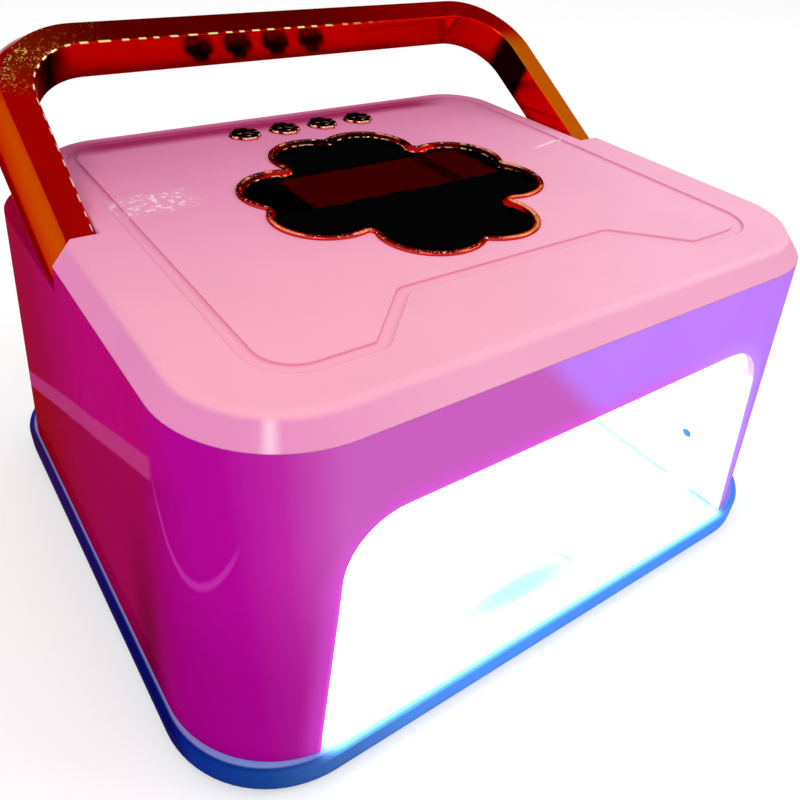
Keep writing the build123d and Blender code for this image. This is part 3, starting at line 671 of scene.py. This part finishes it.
def shell_finish():
    """Housing walls in painted light and shade, with a painted glow round the hand opening."""
    c, size = settings("shell"), settings("sizes")
    f = Finish("glossy_housing_plastic", Specular_IOR_Level=0.0, Coat_Weight=0.01, Coat_Roughness=0.06)
    left = left_wall(f, c)
    # painted light on the right wall: red towards the rear, violet towards the front
    right = f.blend(f.rise(0 - f.y, -0.070, 0.085), c.wall_front, c.violet)
    paint = f.blend(f.rise(f.x, -0.070, 0.070), left, right)
    paint = f.blend(f.rise(0 - f.y, 0.086, 0.090), paint, front_wall(f, c, left))
    # painted glow round the hand opening: the housing is no lamp
    near = arch_distance(f)
    forward = f.rise(0 - f.y, 0.070, 0.085)
    glow = (f.fall(near, 0.0, 0.0014) * 0.55 + f.fall(near, 0.0008, 0.0070) * 0.35) * forward
    lip = f.blend(f.rise(f.x, 0.020, 0.082), c.lip, c.lip_right)
    paint = f.blend(glow, paint, lip)
    # painted light: pale cyan on the jamb's end face at the right of the opening
    painted_jamb_light = f.fall(near, 0.0001, 0.0004) * f.rise(f.x, 0.0, 0.040) * forward
    paint = f.blend(painted_jamb_light, paint, tone(214, 255, 252))
    rough = f.grain(60.0, 3.0) * 0.08 + 0.18
    return f.surface(f.wear(paint, 0.04), rough, moulded(f), soften=size.micro_round,
                     Emission_Color=f.blend(glow, BLACK, lip), Emission_Strength=0.04)


def cover_finish():
    """Pink cover in painted light and shade, with painted shade on its rim and in its groove, a painted
    reflection as its dark rear band, and a few painted highlights and pale reflected specks on it.
    """
    c, size = settings("shell"), settings("sizes")
    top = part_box("top_cover")[1].z
    f = Finish("glossy_cover_plastic", Specular_IOR_Level=0.0, Coat_Weight=0.03, Coat_Roughness=0.08)
    # painted shade: darker towards the rear and paler towards the right
    paint = f.blend(f.rise(f.y, -0.078, 0.090), c.cover_front, c.cover_rear)
    paint = f.blend(f.rise(f.x - f.y, -0.02, 0.16) * 0.8, paint, c.cover_right)
    # painted reflection: the bail's bar as a dark band before the rear edge
    band = f.window(f.y + f.grain(24.0, 1.0) * 0.003, 0.0668, 0.0772, 0.0034)
    paint = f.blend(band * f.window(f.x, -0.080, 0.066, 0.012) * 0.92, paint, c.bail_reflection_band)
    drop = top - f.z
    # painted shade on the sloping rim
    slope = f.rise(drop, 0.0008, 0.0022)
    rim = f.blend(f.rise(f.x, -0.096, -0.040), c.rim, c.rim_front)
    paint = f.blend(slope, paint, rim)
    # painted shade in the groove
    groove_shade = f.rise(drop, 0.00005, 0.0003) * f.fall(drop, 0.00062, 0.00068)
    groove_shade = groove_shade * f.window(f.x, -GROOVE_SIDE, GROOVE_SIDE, 0.0002)
    groove_shade = groove_shade * f.window(f.y, GROOVE_FRONT, GROOVE_REAR, 0.0002)
    paint = f.blend(groove_shade * 0.42, paint, c.groove)
    # painted highlight on the rim's corner
    shine = f.window(corner_turn(f), 1.00, 1.10, 0.05) * slope
    paint = f.blend(shine * 0.5, paint, (1.0, 0.80, 0.88))
    # painted reflection: a pale diagonal line on the right of the top
    reflected_streak = f.window(f.y - 0.007 - (f.x - 0.066) * 0.25, -0.0007, 0.0007, 0.0004)
    reflected_streak = reflected_streak * f.window(f.x, 0.068, 0.084, 0.003)
    paint = f.blend(reflected_streak * 0.6, paint, (1.0, 0.84, 0.82))
    # painted reflection: pale specks and a faint smear on the left of the top
    spot = f.window(f.x, -0.082, -0.060, 0.004) * f.window(f.y, 0.013, 0.026, 0.003)
    reflected_fleck = f.rise(f.grain(520.0, 1.0), 0.54, 0.64) * spot
    paint = f.blend(reflected_fleck * 0.5 + spot * 0.06, paint, (1.0, 0.90, 0.90))
    rough = f.grain(60.0, 3.0) * 0.08 + 0.22
    return f.surface(f.wear(paint, 0.03), rough, moulded(f), soften=size.micro_round)


def plating(f, paint, scale=700.0):
    """Smooth plating with faint duller patches and a very fine grain."""
    rough = f.rise(f.grain(scale * 0.2, 3.0), 0.35, 0.75) * 0.10 + 0.07
    return f.surface(paint, rough, f.grain(scale, 2.0), 0.006 * MM)


def handle_finish():
    """Mirror plating in painted reflections whose colours follow the bail's faces as they lie when it is
    folded.
    """
    c = settings("metal")
    f = Finish("mirror_plating", "folded_place", Metallic=1.0, Specular_Tint=(0.55, 0.06, 0.03))
    nx, ny, nz = f.split(f.attribute("folded_face"))
    up = f.rise(nz, 0.55, 0.9)
    outward = f.rise(nx * f.x, 0.0, 0.03) * f.rise(abs(nx), 0.5, 0.8)
    outward = outward.most(f.rise(ny, 0.35, 0.75))
    rear = f.rise(f.y, 0.060, 0.080)
    # inner faces: painted reflections, darker low down, with dark streaks and a black reflected bend at the
    # right
    inner = f.blend(f.rise(f.z, 0.1015, 0.1030), f.blend(0.55, c.red, c.dark_red), c.red)
    reflected_streak = f.grain(14.0, 2.0, (1.0, 1.0, 9.0))
    inner = f.blend(f.rise(reflected_streak, 0.64, 0.74) * 0.3, inner, c.deep)
    bend = f.window(f.y + f.grain(40.0, 1.0) * 0.006, 0.052, 0.070, 0.002) * f.rise(f.x, 0.050, 0.070)
    inner = f.blend(bend, inner, c.deep)
    # outer faces: painted reflection, darker low down and orange above
    outer = f.blend(f.rise(f.z, 0.1035, 0.1075), tone(132, 20, 4), c.orange)
    # front faces: painted reflections, paler on the right arm and darker on the bar, with painted gold glints
    # on the left bend
    front = f.blend(f.rise(f.grain(40.0, 3.0), 0.45, 0.7) * 0.5, c.dark_red, tone(112, 2, 2))
    front = f.blend(f.rise(f.x, 0.060, 0.080) * (1 - rear), front, tone(188, 96, 6))
    bar = f.blend(f.rise(f.x, 0.0, 0.060), tone(84, 10, 4), tone(128, 8, 3))
    front = f.blend(rear, front, bar)
    reflected_glints = f.rise(f.grain(1500.0, 2.0), 0.58, 0.66) * f.rise(f.grain(90.0, 2.0), 0.44, 0.60)
    gold = f.blend(reflected_glints, tone(112, 26, 6), c.gold)
    gold = f.blend(f.rise(f.grain(700.0, 2.0), 0.60, 0.68) * 0.5, gold, tone(214, 128, 20))
    front = f.blend(rear * f.fall(f.x, -0.096, -0.060), front, gold)
    # painted reflections chosen by which way each face looks when folded
    paint = f.blend(outward, inner, outer)
    paint = f.blend(up, paint, front)
    # painted shade: black inside the left bend; painted highlights: pale dashes along the inner edge
    nook = f.fall(f.x, -0.082, -0.074) * f.rise(f.y, 0.052, 0.060) * (1 - outward) * (1 - up)
    paint = f.blend(nook, paint, c.deep)
    dash = f.rise(((f.y + f.x) * 1100.0 + f.grain(90.0, 1.0) * 8.0).sine(), 0.0, 0.4)
    inward = f.rise(0 - nx * f.x, 0.010, 0.030).most(f.rise(0 - ny, 0.20, 0.45) * rear)
    edge = f.window(nz, 0.30, 0.92, 0.10) * inward * f.fall(f.x, 0.0, 0.040)
    pale = f.blend(rear, (1.0, 0.86, 0.72), (1.0, 0.74, 0.28))
    paint = f.blend(edge * dash, paint, pale)
    return plating(f, paint)


def bezel_finish():
    """Rose gold bead in painted reflections: a fine broken gold line on its crest, a dark inner slope and a
    red outer flank.
    """
    c = settings("metal")
    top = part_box("window_bezel")[1].z
    f = Finish("rose_gold_bead", Metallic=1.0, Specular_Tint=(0.45, 0.08, 0.05))
    band = f.z - top
    patch = f.grain(55.0, 2.0)
    # inner slope: painted reflections, redder at the left end and in the notches between lobes, with a broken
    # painted highlight line towards the far side
    slope = f.blend(f.rise(patch, 0.52, 0.70) * 0.55, c.deep, tone(120, 8, 4))
    slope = f.blend(f.fall(f.x + f.y * 0.3, -0.043, -0.036) * 0.8, slope, tone(168, 4, 2))
    slope = f.blend(f.fall(reach(f.x, f.y), 0.0395, 0.0425) * 0.7, slope, tone(204, 14, 10))
    line = f.window(band, -0.00150, -0.00115, 0.0001) * f.rise(f.grain(380.0, 1.0), 0.50, 0.54)
    slope = f.blend(line * f.rise(f.y, -0.010, 0.004) * 0.75, slope, tone(232, 176, 142))
    # crest: painted reflections, darker on the far side, with fine bright specks of painted glint
    far = f.rise(f.y, 0.002, 0.020)
    crest = f.blend(f.rise(patch, 0.44, 0.56), tone(110, 30, 16), c.bead)
    crest = f.blend(far * f.fall(f.grain(200.0, 2.0), 0.54, 0.62) * 0.92, crest, tone(24, 5, 3))
    crest = f.blend(f.rise(f.grain(1300.0, 2.0), 0.60, 0.68) * 0.9, crest, (1.0, 0.86, 0.70))
    paint = f.blend(f.rise(band, -0.00040, -0.00010), slope, crest)
    # outer flank: painted reflection, red, darker on the far side
    nx, ny, nz = f.split(f.attribute("face"))
    outward = f.rise(nx * f.x + ny * f.y, 0.002, 0.010) * f.fall(nz, 0.55, 0.85)
    flank = f.blend(far * 0.75, c.bead_side, tone(60, 10, 8))
    return plating(f, f.blend(outward, paint, flank), 1200.0)


def button_finish():
    """Plated button in painted reflections: near-black crown with painted glints, copper lobes lit at the
    front and a dark red fold between them.
    """
    c = settings("metal")
    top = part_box("button_cap_1")[1].z
    f = Finish("plated_button", "local_place", Metallic=1.0, Specular_Tint=(0.2, 0.05, 0.04))
    skirt = f.fall(f.z, top - 0.00062, top - 0.00040)
    # painted highlight: lobes lit at the front, dark at the back
    front = f.rise(0 - f.y, -0.0005, 0.0015)
    copper = f.blend(front, tone(70, 16, 10), c.peach)
    side = f.blend(f.rise(reach(f.x, f.y), 0.0046, 0.0050), tone(96, 8, 6), copper)
    glint = f.rise(f.grain(620.0, 0.0), 0.70, 0.74) * (front * 0.8 + 0.2)
    crown = f.blend(glint * 0.7, tone(8, 1, 2), (0.9, 0.66, 0.58))
    return plating(f, f.blend(skirt, crown, side), 1500.0)


def pane_finish():
    """Smoked pane with a dark red patch painted on it."""
    c = settings("metal")
    f = Finish("smoked_pane", Specular_IOR_Level=0.0, Coat_Weight=0.006, Coat_Roughness=0.03)
    ragged = f.grain(150.0, 2.0) * 0.004 - 0.002
    area = f.window(f.x + ragged, -0.030, 0.040, 0.0015) * f.window(f.y + ragged, -0.003, 0.021, 0.0008)
    area = area * (1 - f.window(f.x, 0.020, 0.026, 0.001) * 0.7)
    rough = f.rise(f.grain(90.0, 4.0), 0.4, 0.8) * 0.05 + 0.05
    return f.surface(f.blend(area, c.pane, c.dark_red_patch), rough, f.grain(500.0, 1.0), 0.002 * MM)


def base_finish():
    """Base ring painted blue in light and shade that pales from left to right, its ledge in painted light and
    the tray's floor with painted shade in the finger dip.
    """
    c, size = settings("base"), settings("sizes")
    low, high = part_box("base_tray")
    f = Finish("base_plastic", Specular_IOR_Level=0.0, Coat_Weight=0.02, Coat_Roughness=0.08)
    # painted light and shade on the ring: darker at the left and rear, paling to the right
    left = f.blend(f.rise(f.y, -0.060, 0.080), c.ring_left, c.ring_rear)
    side = f.ramp((f.x - low.x) / 0.085, (0.0, tone(6, 34, 136)), (0.20, c.ring_front),
                  (0.42, tone(66, 106, 182)), (0.66, tone(78, 134, 218)), (1.0, c.ring_right))
    side = f.blend(f.rise(f.x, low.x, low.x + 0.0030), left, side)
    # painted shade low on the ring
    side = f.blend(f.rise(0 - f.z, -0.0050, -0.0018) * 0.15, side, BLACK)
    # the ledge: a painted lavender highlight at the left, and the lamp's painted light, white to blue, before
    # the hand opening
    ledge = f.rise(f.z, high.z - 0.0009, high.z - 0.0003)
    inset = rounded_distance(f, high.x, high.y, BASE_CORNER)
    pale = f.blend(f.rise(f.x, -0.117, -0.103), c.ledge, tone(132, 154, 224))
    paint = f.blend(f.fall(inset, -0.0023, -0.0016) * ledge, side, pale)
    lit = f.ramp((inset + BASE_RING) / BASE_RING, (0.0, WHITE), (0.45, tone(236, 255, 255)),
                 (0.75, tone(140, 214, 252)), (1.0, tone(88, 166, 248)))
    opening = f.window(f.x, -0.082, 0.084, 0.004) * f.fall(f.y, -0.090, -0.060)
    paint = f.blend(opening * ledge, paint, lit)
    floor = rounded_distance(f, high.x - BASE_RING, high.y - BASE_RING, BASE_CORNER - BASE_RING)
    # painted shade in the finger dip
    dip = (f.x / DIP_HALF_WIDTH) ** 2.0 + ((f.y - DIP_Y) / DIP_HALF_DEPTH) ** 2.0
    tray = f.blend(f.fall(dip, 0.0, 1.1), c.tray, c.dip)
    paint = f.blend(f.fall(floor, -0.0002, 0.0004), paint, tray)
    rough = f.grain(70.0, 3.0) * 0.1 + 0.25
    return f.surface(f.wear(paint, 0.04), rough, moulded(f), soften=size.micro_round)


def lining_finish():
    """White lining that glows inside the hand opening only, cooler low at the front."""
    c, size = settings("base"), settings("sizes")
    f = Finish("lit_reflector", IOR=1.46)
    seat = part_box("rear_led_board")[0].y
    lit = f.fall(arch_distance(f), 0.0008, 0.0016) * f.fall(f.y, seat - 0.0010, seat - 0.0004)
    cool = f.rise(0 - f.z, -0.024, -0.010) * f.rise(0 - f.y, 0.045, 0.085)
    glow = f.blend(lit, BLACK, f.blend(cool, c.light, tone(150, 236, 250)))
    dapple = f.grain(45.0, 3.0)
    paint = f.blend(f.rise(dapple, 0.4, 0.8) * 0.06, c.lining, (0.7, 0.8, 0.9))
    return f.surface(paint, dapple * 0.1 + 0.2, f.grain(300.0, 2.0),
                     Emission_Color=glow, Emission_Strength=size.lining_glow)


def light_finish():
    """Glowing lens with a slight violet unevenness."""
    c, size = settings("base"), settings("sizes")
    f = Finish("light_lens", IOR=1.5, Coat_Weight=0.5)
    even = f.grain(1500.0, 1.0) * 0.3 + 0.7
    glow = f.blend(1 - even, c.light, tone(190, 170, 255))
    return f.surface(c.lining, 0.12, f.grain(1200.0, 1.0),
                     Emission_Color=glow, Emission_Strength=size.lamp_glow)


def board_finish(name, mask, trace):
    """Circuit board with broken rows of pale traces both ways."""
    f = Finish(name, IOR=1.5, Coat_Weight=0.4)
    across = f.rise((f.x * 1400.0).sine() * f.rise(f.grain(30.0, 1.0), 0.40, 0.50), 0.80, 0.92)
    along = f.rise((f.y * 1400.0).sine() * f.rise(f.grain(26.0, 1.0), 0.44, 0.54), 0.80, 0.92)
    lines = across.most(along)
    paint = f.blend(lines * 0.7, mask, trace)
    return f.surface(f.wear(paint, 0.08), 0.35, lines + f.grain(600.0, 2.0) * 0.2, 0.03 * MM)


def plain_finish(name, colour, rough, metal=0.0):
    """One colour with faint patches, uneven gloss and a fine grain."""
    f = Finish(name, Metallic=metal, IOR=1.46)
    shade = f.grain(60.0, 3.0) * 0.12 + (rough - 0.06)
    return f.surface(f.wear(colour, 0.06), shade, f.grain(600.0, 3.0))


def rubber_finish():
    """Dull rubber with a pebbled skin."""
    f = Finish("foot_rubber", IOR=1.4, Specular_IOR_Level=0.3)
    height = f.grain(1800.0, 3.0) + f.cells(900.0) * 0.4
    rough = f.grain(80.0, 3.0) * 0.2 + 0.65
    return f.surface(f.wear(settings("base").rubber, 0.25), rough, height, 0.06 * MM)


def steel_finish(name):
    """Plated steel, brushed along its length."""
    f = Finish(name, Metallic=1.0)
    brushed = f.grain(900.0, 3.0, (1.0, 1.0, 0.08))
    return f.surface(f.wear(settings("base").steel, 0.10), brushed * 0.2 + 0.22, brushed, 0.008 * MM)


def jack_finish():
    """Black socket with a bright centre pin and contact sleeve."""
    c = settings("base")
    middle = centre("dc_jack")
    f = Finish("power_socket", IOR=1.46)
    from_axis = reach(f.x - middle.x, f.z - middle.z)
    pin = f.fall(from_axis, 0.0011, 0.0013)
    sleeve = f.window(from_axis, 0.0026, 0.0030, 0.0001) * f.rise(f.y, 0.090, 0.0905)
    metal = pin.most(sleeve)
    paint = f.blend(metal, c.black, c.steel)
    return f.surface(f.wear(paint, 0.1), f.grain(90.0, 3.0) * 0.15 + 0.3, f.grain(700.0, 2.0), Metallic=metal)


def ribbon_finish():
    """Flat cable with fine ribs along it."""
    f = Finish("ribbon_cable", IOR=1.45)
    ribs = (f.x * 5200.0).sine()
    paint = f.blend(f.rise(ribs, 0.4, 0.9) * 0.3, tone(226, 226, 222), tone(120, 124, 130))
    return f.surface(paint, 0.4, ribs, 0.08 * MM)


# ---- operators
class LampStep(bpy.types.Operator):
    """Shared ground of the lamp's operators"""
    bl_options = {"REGISTER", "UNDO"}

    def execute(self, context):
        self.make(context)
        return {"FINISHED"}


class BaseOperator(LampStep):
    """Finishes the base tray and sets its four foot pads"""
    bl_idname = "nail_lamp.base"
    bl_label = "Base"

    def make(self, context):
        size = settings("sizes")
        dress(base_finish(), "base_tray")
        dress(plain_finish("nickel_magnet", tone(188, 190, 196), 0.25, metal=1.0), "tray_magnets")
        names = ["foot_front_left", "foot_rear_left", "foot_front_right", "foot_rear_right"]
        places = []
        for name in names:
            low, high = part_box(name)
            places.append((((low.x + high.x) / 2, (low.y + high.y) / 2, high.z), (0.0, 0.0, -1.0)))
        pad = ((0.70, 1.0), (0.12, 0.97), (0.10, 0.93), (0.0, 0.70), (-0.18, 0.94), (0.0, 0.55), (0.18, 0.94))
        full = FOOT_RISE / sum(share for share, spread in pad)
        tree = stud_tree("foot_pads", pad)
        set_studs("foot_pads", tree, places, "base", "foot_rubber", names, rubber_finish(),
                  radius=size.foot_radius, height=full, sides=48)


class HousingOperator(LampStep):
    """Finishes the tapering walls of the housing"""
    bl_idname = "nail_lamp.housing"
    bl_label = "Housing"

    def make(self, context):
        dress(shell_finish(), "outer_shell")
        dress(plain_finish("magnet_nickel", tone(186, 188, 194), 0.25, metal=1.0), "housing_magnets")


class CoverOperator(LampStep):
    """Finishes the top cover and its shallow groove"""
    bl_idname = "nail_lamp.cover"
    bl_label = "Top cover"

    def make(self, context):
        dress(cover_finish(), "top_cover")


class WindowOperator(LampStep):
    """Makes the flower-shaped window's plated bead and finishes its pane and display"""
    bl_idname = "nail_lamp.window"
    bl_label = "Window"

    def make(self, context):
        piece = copy_of("window_bezel", "rose_gold_bead")
        smooth(piece, 38)
        keep_faces(piece, "face", Matrix.Identity(4))
        wear_on(piece, bezel_finish(), "housing", "rose_gold", "window_bezel")
        dress(pane_finish(), "window_lens")
        dress(plain_finish("display_case", tone(30, 26, 28), 0.35), "display_digits")
        dress(board_finish("display_board", tone(18, 60, 42), tone(60, 120, 84)), "display_board")


class ButtonsOperator(LampStep):
    """Makes the four plated buttons and finishes their switches"""
    bl_idname = "nail_lamp.buttons"
    bl_label = "Buttons"

    def make(self, context):
        finish = button_finish()
        for number in range(1, 5):
            node = f"button_cap_{number}"
            piece = copy_of(node, f"plated_button_{number}")
            smooth(piece, 38)
            middle = centre(node)
            keep_places(piece, "local_place", Matrix.Translation((-middle.x, -middle.y, 0.0)))
            wear_on(piece, finish, f"button_{number}", "button_plating", node)
            dress(plain_finish(f"plunger_{number}", tone(40, 40, 44), 0.4), f"switch_plunger_{number}")
        dress(plain_finish("switch_case", tone(26, 26, 30), 0.38), "tact_switches")
        dress(board_finish("button_board", tone(16, 70, 44), tone(56, 130, 84)), "button_board")


class HandleOperator(LampStep):
    """Makes the mirror-plated carrying bail and finishes its pivots"""
    bl_idname = "nail_lamp.handle"
    bl_label = "Carrying bail"

    def make(self, context):
        axis = Vector(HINGE["pos_m"])
        swing = Matrix.Rotation(math.radians(HINGE["range_deg"][0]), 4, "X")
        folded = Matrix.Translation(axis) @ swing @ Matrix.Translation(-axis)
        piece = copy_of("handle", "plated_bail")
        smooth(piece, 34)
        keep_places(piece, "folded_place", folded)
        keep_faces(piece, "folded_face", folded)
        wear_on(piece, handle_finish(), "bail", "bail_plating", "handle")
        dress(steel_finish("pivot_steel"), "left_pivot_pin", "right_pivot_pin")
        washers = ("left_friction_washer", "right_friction_washer")
        dress(plain_finish("washer_nylon", tone(222, 220, 212), 0.5), *washers)
        dress(plain_finish("bush_acetal", tone(232, 230, 226), 0.4), "left_pivot_bush", "right_pivot_bush")


class LiningOperator(LampStep):
    """Finishes the reflector lining and its hand sensors"""
    bl_idname = "nail_lamp.lining"
    bl_label = "Lining"

    def make(self, context):
        dress(lining_finish(), "reflector_liner")
        dress(plain_finish("sensor_window", tone(0, 96, 168), 0.12), "left_hand_sensor", "right_hand_sensor")


class LightsOperator(LampStep):
    """Sets the domed lights on their boards"""
    bl_idname = "nail_lamp.lights"
    bl_label = "Lights"

    def make(self, context):
        size = settings("sizes")
        nodes = ["ceiling_leds", "rear_leds", "left_leds", "right_leds"]
        places = []
        for node in nodes:
            for low, high, back in islands(node):
                middle = (low + high) / 2
                places.append((middle + back * size.lamp_height / 2, -back))
        tree = stud_tree("domed_lights", ((0.56, 1.0), (0.20, 0.93), (0.14, 0.82), (0.07, 0.62), (0.03, 0.4)))
        set_studs("domed_lights", tree, places, "housing", "led_lens", nodes, light_finish(),
                  radius=size.lamp_radius, height=size.lamp_height, sides=24)


class ElectronicsOperator(LampStep):
    """Finishes the boards, the ribbons and the power socket"""
    bl_idname = "nail_lamp.electronics"
    bl_label = "Electronics"

    def make(self, context):
        c = settings("base")
        white = board_finish("aluminium_board", tone(226, 228, 230), tone(190, 194, 198))
        dress(white, "ceiling_led_board", "rear_led_board", "left_led_board", "right_led_board")
        dress(board_finish("main_board", c.board, c.copper), "main_board")
        dress(jack_finish(), "dc_jack")
        dress(ribbon_finish(), "rear_ribbon", "button_ribbon", "left_ribbon", "right_ribbon")


class FastenersOperator(LampStep):
    """Sets the cross-recessed screws"""
    bl_idname = "nail_lamp.fasteners"
    bl_label = "Screws"

    def make(self, context):
        size = settings("sizes")
        steel = steel_finish("screw_steel")
        head_steps = ((0.45, 1.0), (0.22, 0.94), (0.18, 0.84), (0.15, 0.66))
        tree = stud_tree("pan_head_screws", head_steps, crossed=True)
        groups = (("liner_screws", (0, 0, -1), 0.5), ("cover_screws", (0, 0, -1), 1.0),
                  ("button_board_screws", (0, 0, -1), 1.0), ("main_board_screws", (0, 1, 0), 1.0))
        for node, way, share in groups:
            aim = Vector(way)
            head = size.screw_rise * share
            places, shank = [], 0.0
            for low, high, back in islands(node):
                middle = (low + high) / 2
                half = abs((high - low).dot(aim)) / 2
                places.append((middle + aim * (half - head), aim))
                shank = 2 * half - head
            set_studs(node.replace("_screws", "_pan_heads"), tree, places, "housing", "steel", [node], steel,
                      radius=size.screw_head, height=head, sides=32, shank_radius=size.screw_shank,
                      shank_length=shank)


class StageOperator(LampStep):
    """Lays the floor and sets the lights and the camera"""
    bl_idname = "nail_lamp.stage"
    bl_label = "Stage"

    def make(self, context):
        s = settings("stage")
        scene = context.scene
        scene.view_settings.view_transform = "Standard"
        mesh = bpy.data.meshes.new("floor")
        corners = [(x * FLOOR_REACH, y * FLOOR_REACH, 0) for x, y in ((-1, -1), (1, -1), (1, 1), (-1, 1))]
        mesh.from_pydata(corners, [], [(0, 1, 2, 3)])
        floor = add("floor", mesh)
        f = Finish("plain_floor", Specular_IOR_Level=0.0, Roughness=1.0)
        lift = f.blend(self.seen(f), BLACK, WHITE)
        mesh.materials.append(f.surface(s.floor, Emission_Color=lift, Emission_Strength=s.floor_lift))
        world = bpy.data.worlds.new("pale_room")
        scene.world = world
        world.use_nodes = True
        w = Nodes(world.node_tree)
        strength = self.seen(w) * (1.0 - s.world) + s.world
        back = w.node("ShaderNodeBackground", None, {"Color": WHITE, "Strength": strength})
        w.node("ShaderNodeOutputWorld", None, {0: back.outputs[0]})
        self.lamp("key", (-0.75, -0.80, 1.15), 0.5, s.key)
        self.lamp("fill", (1.05, -0.55, 0.85), 0.6, s.fill)
        eye = bpy.data.cameras.new("camera")
        eye.lens = s.camera_lens
        eye.sensor_width = 36.0
        camera = add("camera", eye)
        turn = Matrix((CAMERA_RIGHT, CAMERA_UP, CAMERA_RIGHT.cross(CAMERA_UP))).transposed().to_4x4()
        camera.matrix_world = Matrix.Translation(s.camera_place) @ turn
        scene.camera = camera

    def seen(self, nodes):
        """1 for what the camera sees, also in a mirror or through a pane."""
        ray = nodes.node("ShaderNodeLightPath")
        seen = nodes.level(ray, "Is Camera Ray").most(nodes.level(ray, "Is Glossy Ray"))
        return seen.most(nodes.level(ray, "Is Transmission Ray"))

    def lamp(self, name, place, side, power):
        """A soft square light, aimed at the middle of the nail lamp."""
        light = bpy.data.lights.new(name, "AREA")
        light.size = side
        light.energy = power
        lamp = add(name, light)
        lamp.location = place
        aim = Vector((0.0, 0.0, 0.06)) - Vector(place)
        lamp.rotation_euler = aim.to_track_quat("-Z", "Y").to_euler()


STEPS = (BaseOperator, HousingOperator, CoverOperator, WindowOperator, ButtonsOperator, HandleOperator,
         LiningOperator, LightsOperator, ElectronicsOperator, FastenersOperator, StageOperator)
GROUPS = {"shell": ShellColours, "metal": MetalColours, "base": BaseColours, "sizes": PieceSizes,
          "stage": StageSettings}


class LampPanel(bpy.types.Panel):
    """Lists the lamp's steps and its settings"""
    bl_idname = "VIEW3D_PT_nail_lamp"
    bl_label = "Nail Lamp"
    bl_space_type = "VIEW_3D"
    bl_region_type = "UI"
    bl_category = "Nail Lamp"

    def draw(self, context):
        for step in STEPS:
            self.layout.operator(step.bl_idname)
        for group, kind in GROUPS.items():
            box = self.layout.box()
            box.label(text=kind.__doc__)
            for name in kind.__annotations__:
                box.prop(settings(group), name)


def register():
    for group, kind in GROUPS.items():
        bpy.utils.register_class(kind)
        setattr(bpy.types.Scene, "nail_lamp_" + group, bpy.props.PointerProperty(type=kind))
    for kind in (*STEPS, LampPanel):
        bpy.utils.register_class(kind)


def unregister():
    for kind in reversed((*STEPS, LampPanel)):
        bpy.utils.unregister_class(kind)
    for group, kind in GROUPS.items():
        delattr(bpy.types.Scene, "nail_lamp_" + group)
        bpy.utils.unregister_class(kind)


def main():
    register()
    for step in STEPS:
        area, name = step.bl_idname.split(".")
        getattr(getattr(bpy.ops, area), name)()


if __name__ == "__main__":
    main()
